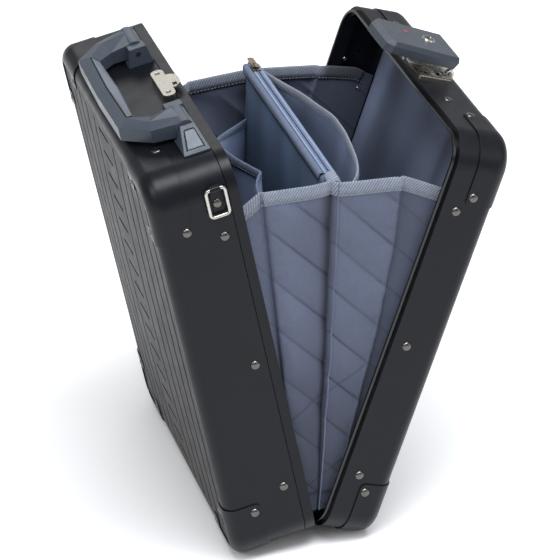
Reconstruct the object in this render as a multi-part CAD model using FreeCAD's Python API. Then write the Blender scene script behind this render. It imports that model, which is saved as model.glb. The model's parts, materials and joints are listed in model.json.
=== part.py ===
import FreeCAD, Part
import math
import os

# An attache case standing open like a book on its two lower outer edges.
# Each half is first drawn in its own closed-case frame: u runs outward from the parting
# plane, y along the hinge, v up from the hinge side. x = -u on the base, x = +u on the lid.
# Then both halves are turned about the hinge axis to the open angle.

V = FreeCAD.Vector

# ---- overall sizes, mm ----
WIDTH = 342.0
HEIGHT = 458.0
BASE_DEPTH = 88.0
LID_DEPTH = 57.0
CORNER_R = 32.0
EDGE_R = 14.0
WALL = 2.4
RIM_SET_BACK = 0.5
OPEN_ANGLE = 29.4
HINGE_DROP = 5.0

# ---- frame rims round the opening ----
RIM_DEPTH = 10.6
RIM_THICK = 9.0
RIM_LEG_IN = 2.6
RIM_LEG_OUT = 5.2
RIM_LEG_DEPTH = 20.0
BAND_GAP = 0.7
GROOVE_IN = 3.6
GROOVE_OUT = 7.8
GROOVE_DEEP = 6.0
TONGUE_IN = 4.2
TONGUE_OUT = 6.8
TONGUE_PROUD = 4.2
TONGUE_ROOT = 8.0

# ---- ribbed panels on the big faces ----
PANEL_INSET = 14.5
PANEL_FLANGE = 6.0
PANEL_LIP = 1.6
PANEL_SEAM = 3.0
CROWN = 4.2
RIB_OFFSETS = (36.0, 68.0, 94.0, 121.0, 145.5)
RIB_W = 3.8
RIB_DEEP = 1.2
RIB_MARGIN = 9.0
RIB_END_SHORT = 12.0
RUNG_HALF = 18.0
RUNG_PITCH = 26.4
RUNG_COUNT = 16
RUNG_CENTRE_V = 232.5

# ---- corner caps ----
CAP_LEG = 68.0
CAP_T = 1.3
CAP_SKIN_GAP = 0.05
CAP_WIDTH = 36.5
CAP_LID_WIDTH = 34.5
CAP_FACE_BAND = 16.0
CAP_END_R = 6.0
TAB_ALONG = 59.0
TAB_IN = 22.0
TAB_R = 8.0

# ---- fixings ----
RIVET_R = 4.8
RIVET_H = 1.7
SHANK_R = 1.5
CAP_SCREW_R = 3.4
CAP_SCREW_H = 1.5

# ---- hinge ----
KNUCKLE_R = 4.0
HINGE_PIN_R = 1.5
HINGE_PLAY = 0.05
LEAF_T = 1.5
LEAF_W = 20.0
HINGE_HALF = 132.0
KNUCKLES = 11
KNUCKLE_SIDE_GAP = 0.4

# ---- handle, heights measured above the end face it stands on ----
HANDLE_PIVOT_U = 25.4
HANDLE_PIVOT_Z = 13.3
HANDLE_EYE_R = 9.2
HANDLE_ARM_OUT = 107.4
HANDLE_BOTTOM = 5.0
HANDLE_EDGE_Z = 18.6
HANDLE_RIDGE_Z = 22.6
GRIP_INNER_Z = 18.0
HANDLE_GRIP_OUT = 84.0
HANDLE_GRIP_IN = 65.0
HANDLE_PIN_R = 2.5
GRIP_BOW = 1.5
GRIP_SWELL = 2.2
GRIP_OUT_Y = 77.0
GRIP_IN_Y = 63.2
RIDGE_SHARE_END = 0.605
RIDGE_SHARE_MIDDLE = 0.493
CHEEK_IN_NEAR = 61.5
CHEEK_IN_FAR = 71.6
EYE_PLAY = 0.6
CHEEK_OUT_FAR = 137.0
CHEEK_TOP = 20.0
MOUNT_T = 2.6

# ---- keeper on the base, latch on the lid ----
KEEPER_U = 18.5
KEEPER_HALF_W = 6.5
KEEPER_HALF_L = 28.0
KEEPER_BLOCK_H = 6.0
KEEPER_TOP = 8.0
KEEPER_NOSE_U = 1.8
KEEPER_NOSE_HALF = 14.0
KEEPER_NOSE_R = 10.5
KEEPER_SCREW_Y = 20.5
KEEPER_SCREW_R = 1.4
LATCH_PIVOT_U = 38.0
LATCH_PIVOT_Z = 7.5
LATCH_LIFT = 4.5
LATCH_HALF_L = 28.0
POD_LEFT = -40.5
POD_RIGHT = 38.5
POD_HALF_L = 30.0
POD_BOTTOM = 15.0
POD_TOP = 28.0
LATCH_PIN_R = 2.0
HOOK_U = -8.5
HOOK_BOTTOM = 4.9
HOOK_Y = -8.0
HOOK_HALF_W = 2.2
HOOK_HALF_T = 1.5
HOOK_PLAY = 0.8
CYL_U = 15.0
CYL_Y = 5.0
CYL_R = 5.2
BEZEL_R = 8.2

# ---- strap rings ----
RING_U = 23.5
RING_TOP_V = 438.0
RING_BOTTOM_V = 408.0
RING_HALF_W = 9.5
RING_WIRE_R = 1.7
RING_PLAY = 0.08
RING_STAND_OFF = 3.9
BRACKET_T = 1.2

# ---- interior ----
LINING_T = 1.4
LINING_GAP = 0.4
LINING_TOP = 388.0
GUSSET_Y = 156.0
GUSSET_T = 1.6
GUSSET_R_IN = 22.0
GUSSET_R_OUT = 403.0
GUSSET_CLEAR_ANGLE = 0.6
DIVIDER_HALF_W = 148.0
DIVIDER_T = 4.0
DIVIDER_BOTTOM = 14.0
DIVIDER_TOP = 388.0
ZIP_FAR = 140.0
ZIP_NEAR = -130.0
ZIP_TAPE_W = 14.0
POCKET_T = 2.4
POCKET_HALF_W = 140.0
POCKET_BOTTOM = 16.0
LID_POCKET_TOP = 386.0
BASE_POCKET_TOP = 350.0
LID_POCKET_BULGE = 44.0
BASE_POCKET_LINE = ((-138.0, 0.4), (-118.0, 26.0), (-92.0, 44.0), (-62.0, 46.0), (-26.0, 34.0), (10.0, 50.0),
                    (42.0, 60.0), (66.0, 52.0), (92.0, 34.0), (114.0, 15.0), (130.0, 0.4))
SLIDER_Y = 123.0
PULL_LENGTH = 22.0
ZIP_SLIDER_LIFT = 1.1
PULL_AXIS_UP = 4.25

parts = {}


def box(x0, x1, y0, y1, z0, z1):
    """Axis-aligned block between two corners."""
    corner = V(min(x0, x1), min(y0, y1), min(z0, z1))
    return Part.makeBox(abs(x1 - x0), abs(y1 - y0), abs(z1 - z0), corner)


def round_rect(x, half_y, v0, v1, radius):
    """Rounded rectangle face in the plane at x, spanning -half_y..half_y and v0..v1."""
    r = radius
    k = r * (1.0 - math.sqrt(0.5))
    y0, y1 = -half_y, half_y
    edges = [
        Part.makeLine(V(x, y0 + r, v0), V(x, y1 - r, v0)),
        Part.Arc(V(x, y1 - r, v0), V(x, y1 - k, v0 + k), V(x, y1, v0 + r)).toShape(),
        Part.makeLine(V(x, y1, v0 + r), V(x, y1, v1 - r)),
        Part.Arc(V(x, y1, v1 - r), V(x, y1 - k, v1 - k), V(x, y1 - r, v1)).toShape(),
        Part.makeLine(V(x, y1 - r, v1), V(x, y0 + r, v1)),
        Part.Arc(V(x, y0 + r, v1), V(x, y0 + k, v1 - k), V(x, y0, v1 - r)).toShape(),
        Part.makeLine(V(x, y0, v1 - r), V(x, y0, v0 + r)),
        Part.Arc(V(x, y0, v0 + r), V(x, y0 + k, v0 + k), V(x, y0 + r, v0)).toShape(),
    ]
    return Part.Face(Part.Wire(edges))


def plate(side, inset, u0, u1):
    """Prism of the case outline pulled in by inset, between two depths."""
    half = WIDTH / 2 - inset
    face = round_rect(side * u0, half, inset, HEIGHT - inset, max(CORNER_R - inset, 2.0))
    return face.extrude(V(side * (u1 - u0), 0, 0))


def ring(side, inset_out, inset_in, u0, u1):
    """Frame between two outlines."""
    return plate(side, inset_out, u0, u1).cut(plate(side, inset_in, u0 - 1, u1 + 1))


def tub(side, inset, u0, u1, edge_r):
    """Outline prism whose far (big face) edge loop is rounded."""
    solid = plate(side, inset, u0, u1)
    far = side * u1
    loop = [e for e in solid.Edges if all(abs(p.Point.x - far) < 0.001 for p in e.Vertexes)]
    return solid.makeFillet(edge_r, loop)


def rod(start, direction, radius, length):
    return Part.makeCylinder(radius, length, start, direction)


def dome(point, direction, radius, height):
    """Shallow domed head sitting on a surface, pointing along direction, in three bevels."""
    levels = ((1.0, 0.0), (0.86, 0.45), (0.5, 0.85), (0.12, 1.0))
    bevels = []
    for (r0, h0), (r1, h1) in zip(levels[:-1], levels[1:]):
        bevels.append(Part.makeCone(radius * r0, radius * r1, height * (h1 - h0),
                                    point + direction * (height * h0), direction))
    return fuse(bevels)


def rivet(point, direction, depth):
    """Domed head with a shank that runs back into the wall."""
    head = dome(point, direction, RIVET_R, RIVET_H)
    shank = rod(point, direction * -1.0, SHANK_R, depth)
    return head.fuse(shank)


def solid_of(polygons):
    """Solid bounded by flat polygons."""
    faces = [Part.Face(Part.makePolygon(list(p) + [p[0]])) for p in polygons]
    solid = Part.makeSolid(Part.makeShell(faces))
    if solid.Volume < 0:
        solid.reverse()
    return solid


def loft(low, high):
    """Faceted solid between two closed sections with the same number of corners."""
    polygons = [low, high]
    count = len(low)
    for i in range(count):
        j = (i + 1) % count
        polygons += [(low[i], low[j], high[j]), (low[i], high[j], high[i])]
    return solid_of(polygons)


def fuse(shapes):
    result = shapes[0]
    for shape in shapes[1:]:
        result = result.fuse(shape)
    return result.removeSplitter()


# ---------------------------------------------------------------- shells and panels

def case_half(side, depth, first_u):
    """Side band with its rounded big-face edge, open at the parting side, windowed."""
    outer = tub(side, 0.0, first_u, depth, EDGE_R)
    inner = tub(side, WALL, first_u - 1, depth - WALL, EDGE_R - WALL)
    window = plate(side, PANEL_INSET, depth - WALL - 1, depth + 1)
    return outer.cut(inner).cut(window)


def crown_height(y, v):
    """How far the big face stands proud of its rim, highest in the middle."""
    across = y / (WIDTH / 2 - PANEL_INSET)
    along = (v - HEIGHT / 2) / (HEIGHT / 2 - PANEL_INSET)
    return CROWN * max(1 - across * across, 0.0) * max(1 - along * along, 0.0)


def crown_face(side, u):
    """Crowned surface that stands at u along the panel's rim."""
    steps_y, steps_v = 14, 18
    grid = []
    for i in range(steps_y + 1):
        y = -WIDTH / 2 + WIDTH * i / steps_y
        grid.append([V(side * (u + crown_height(y, HEIGHT * j / steps_v)), y, HEIGHT * j / steps_v)
                     for j in range(steps_v + 1)])
    surface = Part.BSplineSurface()
    surface.interpolate(grid)
    return surface.toShape()


def rib_panel(side, depth):
    """Crowned and ribbed big-face panel, with a hidden flange behind the shell."""
    thick = V(-side * WALL, 0, 0)
    front = crown_face(side, depth).extrude(thick)
    front = front.common(plate(side, PANEL_INSET + 0.1, depth - 2 * WALL, depth + 2 * CROWN))
    flange = ring(side, PANEL_INSET - PANEL_FLANGE, PANEL_INSET + PANEL_SEAM,
                  depth - WALL - PANEL_LIP, depth - WALL)
    seam = ring(side, PANEL_INSET + 0.1, PANEL_INSET + PANEL_SEAM, depth - WALL - 1.0, depth - WALL / 2)
    body = fuse([front, flange, seam])
    bars = []
    low = PANEL_INSET + RIB_MARGIN
    high = HEIGHT - PANEL_INSET - RIB_MARGIN
    u0, u1 = side * (depth - WALL), side * (depth + 2 * CROWN)
    for offset in RIB_OFFSETS:
        short = RIB_END_SHORT if offset == RIB_OFFSETS[-1] else 0.0
        for y in (-offset, offset):
            bars.append(box(u0, u1, y - RIB_W / 2, y + RIB_W / 2, low + short, high - short))
    for i in range(RUNG_COUNT):
        v = RUNG_CENTRE_V + (i - (RUNG_COUNT - 1) / 2) * RUNG_PITCH
        bars.append(box(u0, u1, -RUNG_HALF, RUNG_HALF, v - RIB_W / 2, v + RIB_W / 2))
    above_floor = crown_face(side, depth - RIB_DEEP).extrude(V(side * 2 * CROWN, 0, 0))
    grooves = Part.makeCompound(bars).common(above_floor)
    return body.cut(grooves)


def end_slab(side, u0, u1, axis):
    """Tall prism with one pair of rounded corners, used to trim the cap ends."""
    half = WIDTH / 2
    r = CAP_END_R
    big = 4 * CAP_LEG
    if axis == "y":
        top = box(side * u0, side * u1, -half - 5, half + 5, HEIGHT - CAP_LEG, HEIGHT + 5)
        low = box(side * u0, side * u1, -half - 5, half + 5, -5, CAP_LEG)
        edges_top = [e for e in top.Edges if corner_edge(e, side * u0, None, HEIGHT - CAP_LEG)]
        edges_low = [e for e in low.Edges if corner_edge(e, side * u0, None, CAP_LEG)]
        return top.makeFillet(r, edges_top).fuse(low.makeFillet(r, edges_low))
    near = box(side * u0, side * u1, -half - 5, -half + CAP_LEG, -5, HEIGHT + 5)
    far = box(side * u0, side * u1, half - CAP_LEG, half + 5, -5, HEIGHT + 5)
    edges_near = [e for e in near.Edges if corner_edge(e, side * u0, -half + CAP_LEG, None)]
    edges_far = [e for e in far.Edges if corner_edge(e, side * u0, half - CAP_LEG, None)]
    return near.makeFillet(r, edges_near).fuse(far.makeFillet(r, edges_far))


def corner_edge(edge, x, y, z):
    """True for an edge whose two ends share the given coordinates."""
    for vertex in edge.Vertexes:
        p = vertex.Point
        if x is not None and abs(p.x - x) > 0.001:
            return False
        if y is not None and abs(p.y - y) > 0.001:
            return False
        if z is not None and abs(p.z - z) > 0.001:
            return False
    return True


def corner_caps(side, depth, cap_width):
    """Four thin caps wrapped over the corners, with screw tabs on the big face."""
    half = WIDTH / 2
    outer = tub(side, -CAP_T, 1.0, depth + CAP_T, EDGE_R + CAP_T)
    inner = tub(side, -CAP_SKIN_GAP, 0.5, depth + CAP_SKIN_GAP, EDGE_R + CAP_SKIN_GAP)
    u0 = depth - cap_width
    skin = outer.cut(inner)
    skin = skin.common(end_slab(side, u0, depth + 5, "y")).common(end_slab(side, u0, depth + 5, "z"))
    face_cut = box(side * (depth - 0.6), side * (depth + 5), -half + CAP_FACE_BAND, half - CAP_FACE_BAND,
                   CAP_FACE_BAND, HEIGHT - CAP_FACE_BAND)
    tabs = []
    for sy in (-1, 1):
        for top in (0, 1):
            for along, inward in ((TAB_ALONG, TAB_IN), (TAB_IN, TAB_ALONG)):
                y = sy * (half - inward)
                v = HEIGHT - along if top else along
                tabs.append(rod(V(side * (depth - 1), y, v), V(side, 0, 0), TAB_R, 8))
                y_edge = y if inward > TAB_IN else sy * half
                v_edge = v if inward == TAB_IN else (HEIGHT if top else 0)
                tabs.append(box(side * (depth - 1), side * (depth + 7),
                                min(y, y_edge) - (TAB_R if inward > TAB_IN else 0),
                                max(y, y_edge) + (TAB_R if inward > TAB_IN else 0),
                                min(v, v_edge) - (TAB_R if inward == TAB_IN else 0),
                                max(v, v_edge) + (TAB_R if inward == TAB_IN else 0)))
    face_cut = face_cut.cut(Part.makeCompound(tabs))
    skin = skin.cut(face_cut)
    names = {(-1, 0): "lower_near", (1, 0): "lower_far", (-1, 1): "upper_near", (1, 1): "upper_far"}
    result = {}
    for solid in skin.Solids:
        c = solid.CenterOfMass
        result[names[(1 if c.y > 0 else -1, 1 if c.z > HEIGHT / 2 else 0)]] = solid
    return result


def rivet_points(side, kind):
    """Rivet seats on the long and end sides: point, outward direction, on a cap or not."""
    half = WIDTH / 2
    cap_u = 58.5 if kind == "base" else 29.0
    band_u = 23.5 if kind == "base" else 16.8
    spots = []
    for sy in (-1, 1):
        for v in (58.5, HEIGHT - 58.5):
            spots.append((V(side * cap_u, sy * half, v), V(0, sy, 0), True))
        for v in (77.0, HEIGHT / 2, HEIGHT - 76.0):
            spots.append((V(side * band_u, sy * half, v), V(0, sy, 0), False))
        for v, up in ((0.0, -1), (HEIGHT, 1)):
            spots.append((V(side * cap_u, sy * (half - 62.0), v), V(0, 0, up), True))
    if kind == "lid":
        for sy in (-1, 1):
            spots.append((V(side * 18.5, sy * 73.5, HEIGHT), V(0, 0, 1), False))
    return spots


def make_rivets(side, kind):
    """All rivets of one half, and the holes they need."""
    heads = []
    holes = []
    for point, outward, on_cap in rivet_points(side, kind):
        lift = CAP_T if on_cap else 0.0
        seat = point + outward * lift
        heads.append(rivet(seat, outward, WALL + lift))
        holes.append(rod(seat + outward, outward * -1.0, SHANK_R, WALL + lift + 3))
    return Part.makeCompound(heads), Part.makeCompound(holes)


def cap_screws(side, depth):
    """Pan-head screws on the cap tabs of the big face."""
    half = WIDTH / 2
    heads = []
    holes = []
    out = V(side, 0, 0)
    for sy in (-1, 1):
        for along, inward in ((TAB_ALONG, TAB_IN), (TAB_IN, TAB_ALONG)):
            for v in (along, HEIGHT - along):
                seat = V(side * (depth + CAP_T), sy * (half - inward), v)
                head = dome(seat, out, CAP_SCREW_R, CAP_SCREW_H)
                slot = box(seat.x + side * 0.7, seat.x + side * 3, seat.y - 3.6, seat.y + 3.6,
                           seat.z - 0.45, seat.z + 0.45)
                shank = rod(seat, out * -1.0, SHANK_R, CAP_T + WALL + PANEL_LIP)
                heads.append(head.cut(slot).fuse(shank))
                holes.append(rod(seat + out, out * -1.0, SHANK_R, CAP_T + WALL + PANEL_LIP + 3))
    return Part.makeCompound(heads), Part.makeCompound(holes)


def base_frame(side):
    """Extruded rim of the base with the groove that takes the lid's tongue."""
    face = ring(side, 0.0, RIM_THICK, RIM_SET_BACK, RIM_DEPTH)
    leg = ring(side, RIM_LEG_IN, RIM_LEG_OUT, RIM_DEPTH - 0.5, RIM_LEG_DEPTH)
    groove = ring(side, GROOVE_IN, GROOVE_OUT, RIM_SET_BACK - 1, RIM_SET_BACK + GROOVE_DEEP)
    return face.fuse(leg).cut(groove)


def lid_frame(side):
    """Rim of the lid inside its band, with a slot for the tongue."""
    body = ring(side, WALL + 0.1, RIM_THICK, RIM_SET_BACK, RIM_DEPTH)
    slot = ring(side, TONGUE_IN, TONGUE_OUT, RIM_SET_BACK - 1, RIM_SET_BACK + TONGUE_ROOT)
    return body.cut(slot)


def lid_tongue(side):
    return ring(side, TONGUE_IN, TONGUE_OUT, -TONGUE_PROUD, RIM_SET_BACK + TONGUE_ROOT)


def gasket(side):
    """Soft strip at the bottom of the base groove."""
    return ring(side, GROOVE_IN + 0.2, GROOVE_OUT - 0.2, RIM_SET_BACK + GROOVE_DEEP - 1.0,
                RIM_SET_BACK + GROOVE_DEEP)


def lining(side, depth):
    """Fabric-covered tray inside the shell: full height on its back, hemmed lower on its walls."""
    inset = RIM_THICK + LINING_GAP
    last = depth - WALL - PANEL_LIP - LINING_GAP
    outer = tub(side, inset, RIM_DEPTH + 1.0, last, 8.0)
    inner = tub(side, inset + LINING_T, RIM_DEPTH, last - LINING_T, 8.0 - LINING_T)
    above = box(0, side * (last - LINING_T), -WIDTH / 2, WIDTH / 2, LINING_TOP, HEIGHT)
    return outer.cut(inner).cut(above)


# ---------------------------------------------------------------- hinge

def knuckle_span(index):
    """y range of one knuckle."""
    pitch = 2 * HINGE_HALF / KNUCKLES
    y0 = -HINGE_HALF + index * pitch
    return y0 + KNUCKLE_SIDE_GAP / 2, y0 + pitch - KNUCKLE_SIDE_GAP / 2


def hinge_leaf(side, parity):
    """Leaf under one half with every second knuckle."""
    axis_z = -HINGE_DROP
    leaf = box(side * 5.5, side * LEAF_W, -HINGE_HALF, HINGE_HALF, -LEAF_T, 0)
    pieces = [leaf]
    for i in range(KNUCKLES):
        if i % 2 != parity:
            continue
        y0, y1 = knuckle_span(i)
        barrel = rod(V(0, y0, axis_z), V(0, 1, 0), KNUCKLE_R, y1 - y0)
        web = box(0, side * 5.6, y0, y1, -LEAF_T, 0)
        web_low = box(0, side * 3.2, y0, y1, axis_z, 0)
        pieces.append(barrel.fuse(web))
        pieces.append(web_low)
    body = fuse(pieces)
    bore = rod(V(0, -HINGE_HALF - 1, axis_z), V(0, 1, 0), HINGE_PIN_R + HINGE_PLAY, 2 * HINGE_HALF + 2)
    return body.cut(bore)


def hinge_screws(side):
    """Countersunk screws through a leaf into the shell."""
    heads = []
    for i in range(6):
        y = -HINGE_HALF + 22 + i * (2 * HINGE_HALF - 44) / 5
        head = Part.makeCone(3.0, 1.5, LEAF_T, V(side * 14.5, y, -LEAF_T), V(0, 0, 1))
        shank = rod(V(side * 14.5, y, 0), V(0, 0, 1), 1.5, WALL)
        heads.append(head.fuse(shank))
    return Part.makeCompound(heads)


# ---------------------------------------------------------------- handle

def handle_section(outer, inner, ridge_share, heights):
    """Five-sided upright section between an outer and an inner plan point."""
    edge_z, ridge_z, inner_z = heights
    top = HEIGHT
    ur = outer[0] + (inner[0] - outer[0]) * ridge_share
    yr = outer[1] + (inner[1] - outer[1]) * ridge_share
    return [V(-outer[0], outer[1], top + HANDLE_BOTTOM), V(-outer[0], outer[1], top + edge_z),
            V(-ur, yr, top + ridge_z), V(-inner[0], inner[1], top + inner_z),
            V(-inner[0], inner[1], top + HANDLE_BOTTOM)]


def handle_body():
    """Faceted U-shaped handle, folded flat outward over the end face."""
    sections = []
    eye_in = CHEEK_IN_FAR + EYE_PLAY
    grip_heights = (HANDLE_EDGE_Z, HANDLE_RIDGE_Z, GRIP_INNER_Z)
    for sign in (1, -1):
        root = handle_section((HANDLE_PIVOT_U, sign * HANDLE_ARM_OUT), (HANDLE_PIVOT_U, sign * eye_in),
                              0.3, (20.5, 22.4, 21.6))
        bend = handle_section((58.0, sign * 100.5), (50.5, sign * (eye_in + 0.2)), 0.4, grip_heights)
        mitre = handle_section((HANDLE_GRIP_OUT, sign * GRIP_OUT_Y), (HANDLE_GRIP_IN, sign * GRIP_IN_Y),
                               RIDGE_SHARE_END, grip_heights)
        if sign > 0:
            sections += [root, bend, mitre]
        else:
            sections += [mitre, bend, root]
    middle = handle_section((HANDLE_GRIP_OUT + GRIP_BOW, 0), (HANDLE_GRIP_IN - GRIP_SWELL, 0),
                            RIDGE_SHARE_MIDDLE, grip_heights)
    sections.insert(3, middle)
    solids = [loft(a, b) for a, b in zip(sections[:-1], sections[1:])]
    for sign in (1, -1):
        y0 = eye_in if sign > 0 else -HANDLE_ARM_OUT
        solids.append(rod(V(-HANDLE_PIVOT_U, y0, HEIGHT + HANDLE_PIVOT_Z), V(0, 1, 0), HANDLE_EYE_R,
                          HANDLE_ARM_OUT - eye_in))
    body = fuse(solids)
    for sign in (1, -1):
        y0 = eye_in - 1 if sign > 0 else -HANDLE_ARM_OUT - 1
        body = body.cut(rod(V(-HANDLE_PIVOT_U, y0, HEIGHT + HANDLE_PIVOT_Z), V(0, 1, 0),
                            HANDLE_PIN_R + 0.05, HANDLE_ARM_OUT - eye_in + 2))
    return body


def handle_grip_insert():
    """Soft strip let into the slope between the grip's ridge and its inner edge."""
    gap, proud, sunk, end_gap = 1.0, 0.5, 0.9, 1.5
    ridge_y = GRIP_OUT_Y + (GRIP_IN_Y - GRIP_OUT_Y) * RIDGE_SHARE_END
    sections = []
    for end in (-1, 0, 1):
        outer_u = HANDLE_GRIP_OUT if end else HANDLE_GRIP_OUT + GRIP_BOW
        inner_u = HANDLE_GRIP_IN if end else HANDLE_GRIP_IN - GRIP_SWELL
        ridge_share = RIDGE_SHARE_END if end else RIDGE_SHARE_MIDDLE
        ridge_u = outer_u + (inner_u - outer_u) * ridge_share
        slope = (HANDLE_RIDGE_Z - GRIP_INNER_Z) / (ridge_u - inner_u)
        corners = []
        for u, y, lift in ((inner_u + gap, GRIP_IN_Y, -sunk), (inner_u + gap, GRIP_IN_Y, proud),
                           (ridge_u - gap, ridge_y, proud), (ridge_u - gap, ridge_y, -sunk)):
            corners.append(V(-u, end * (y - end_gap), HEIGHT + GRIP_INNER_Z + (u - inner_u) * slope + lift))
        sections.append(corners)
    return fuse([loft(sections[0], sections[1]), loft(sections[1], sections[2])])


def handle_mount(sign):
    """Fork the handle turns in: foot plate, upright inner cheek, sloping outer cheek."""
    z = HEIGHT
    foot = box(-11.5, -38.0, sign * CHEEK_IN_NEAR, sign * (CHEEK_OUT_FAR - 1.5), z, z + MOUNT_T)
    y_in = sign * CHEEK_IN_NEAR
    y_gap_in = sign * CHEEK_IN_FAR
    y_gap_out = sign * (HANDLE_ARM_OUT + 0.6)
    y_far = sign * CHEEK_OUT_FAR
    inner = loft(
        [V(-11.5, y_in, z), V(-38.0, y_in, z), V(-38.0, y_gap_in, z), V(-11.5, y_gap_in, z)],
        [V(-16.5, y_in, z + CHEEK_TOP), V(-34.0, y_in, z + CHEEK_TOP),
         V(-34.0, y_gap_in, z + CHEEK_TOP), V(-16.5, y_gap_in, z + CHEEK_TOP)])
    lip = 1.6
    outer = loft(
        [V(-11.5, y_gap_out, z), V(-38.0, y_gap_out, z), V(-38.0, y_far, z), V(-11.5, y_far, z)],
        [V(-11.5, y_gap_out, z + lip), V(-38.0, y_gap_out, z + lip), V(-38.0, y_far, z + lip),
         V(-11.5, y_far, z + lip)])
    ridge = y_gap_out + sign * 2.0
    wedge = loft(
        [V(-11.5, y_gap_out, z + lip), V(-38.0, y_gap_out, z + lip), V(-38.0, y_far, z + lip),
         V(-11.5, y_far, z + lip)],
        [V(-16.5, y_gap_out, z + 18.5), V(-31.0, y_gap_out, z + 18.5), V(-31.0, ridge, z + 18.5),
         V(-16.5, ridge, z + 18.5)])
    body = fuse([foot, inner, outer, wedge])
    start = V(-HANDLE_PIVOT_U, sign * (CHEEK_IN_NEAR - 1), z + HANDLE_PIVOT_Z)
    body = body.cut(rod(start, V(0, sign, 0), HANDLE_PIN_R, 51.5))
    return body


def mount_cover(sign):
    """Raised inlay on the sloping face of the outer cheek."""
    z = HEIGHT
    y0 = sign * (HANDLE_ARM_OUT + 0.6)
    y_top = y0 + sign * 2.0
    y_far = sign * CHEEK_OUT_FAR
    run = abs(y_far - y_top)
    drop = 18.5 - 1.6
    length = math.hypot(run, drop)
    ny, nz = sign * drop / length, run / length

    def on_slope(u_share, t, lift):
        y = y_top + (y_far - y_top) * t
        zz = z + 18.5 - drop * t
        u_low = 16.5 + (11.5 - 16.5) * t
        u_high = 31.0 + (38.0 - 31.0) * t
        return V(-(u_low + (u_high - u_low) * u_share), y + ny * lift, zz + nz * lift)

    flat = [on_slope(0.2, 0.18, 0.0), on_slope(0.8, 0.18, 0.0), on_slope(0.85, 0.86, 0.0),
            on_slope(0.15, 0.86, 0.0)]
    raised = [on_slope(0.23, 0.21, 0.9), on_slope(0.77, 0.21, 0.9), on_slope(0.81, 0.83, 0.9),
              on_slope(0.19, 0.83, 0.9)]
    return loft(flat, raised)


def handle_pin(sign):
    """Pivot pin from the inner cheek through the arm into the outer cheek."""
    start = V(-HANDLE_PIVOT_U, sign * (CHEEK_IN_NEAR - 0.4), HEIGHT + HANDLE_PIVOT_Z)
    return rod(start, V(0, sign, 0), HANDLE_PIN_R, 50.8)


# ---------------------------------------------------------------- keeper and latch

def keeper_block():
    z = HEIGHT
    body = box(-(KEEPER_U - KEEPER_HALF_W), -(KEEPER_U + KEEPER_HALF_W), -25, 25, z, z + KEEPER_BLOCK_H)
    body = body.makeFillet(3.0, [e for e in body.Edges if vertical(e)])
    for y in (-KEEPER_SCREW_Y, KEEPER_SCREW_Y):
        body = body.cut(rod(V(-KEEPER_U, y, z - 1), V(0, 0, 1), KEEPER_SCREW_R, 20))
    return body


def vertical(edge):
    a, b = edge.Vertexes[0].Point, edge.Vertexes[-1].Point
    return abs(a.x - b.x) < 0.001 and abs(a.y - b.y) < 0.001


def keeper_plate():
    """Striker plate with a rounded nose and the notch that the latch hook drops into."""
    z = HEIGHT
    z0, z1 = z + KEEPER_BLOCK_H, z + KEEPER_TOP
    inner_x, outer_x = -(KEEPER_U - KEEPER_HALF_W), -(KEEPER_U + KEEPER_HALF_W)
    strip = box(inner_x, outer_x, -KEEPER_HALF_L, KEEPER_HALF_L, z0, z1)
    strip = strip.makeFillet(5.5, [e for e in strip.Edges if vertical(e)])
    nose = box(-KEEPER_NOSE_U, -KEEPER_U, -KEEPER_NOSE_HALF, KEEPER_NOSE_HALF, z0, z1)
    nose_edges = [e for e in nose.Edges
                  if vertical(e) and abs(e.Vertexes[0].Point.x + KEEPER_NOSE_U) < 0.001]
    nose = nose.makeFillet(KEEPER_NOSE_R, nose_edges)
    notch_half = HOOK_HALF_W + HOOK_PLAY
    notch = box(HOOK_U + HOOK_HALF_T + HOOK_PLAY, HOOK_U - HOOK_HALF_T - HOOK_PLAY,
                HOOK_Y - notch_half, HOOK_Y + notch_half, z0 - 1, z1 + 1)
    body = strip.fuse(nose).removeSplitter().cut(notch)
    for y in (-KEEPER_SCREW_Y, KEEPER_SCREW_Y):
        body = body.cut(rod(V(-KEEPER_U, y, z), V(0, 0, 1), KEEPER_SCREW_R, 20))
        body = body.cut(Part.makeCone(KEEPER_SCREW_R, 2.8, 1.2, V(-KEEPER_U, y, z1 - 1.2), V(0, 0, 1)))
    return body


def keeper_screws():
    z1 = HEIGHT + KEEPER_TOP
    screws = []
    for y in (-KEEPER_SCREW_Y, KEEPER_SCREW_Y):
        head = Part.makeCone(KEEPER_SCREW_R, 2.55, 1.1, V(-KEEPER_U, y, z1 - 1.2), V(0, 0, 1))
        head = head.cut(box(-KEEPER_U - 3, -KEEPER_U + 3, y - 0.35, y + 0.35, z1 - 0.6, z1 + 1))
        shank = rod(V(-KEEPER_U, y, HEIGHT - WALL), V(0, 0, 1), KEEPER_SCREW_R, KEEPER_TOP - 1.1 + WALL)
        screws.append(head.fuse(shank))
    return Part.makeCompound(screws)


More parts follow.
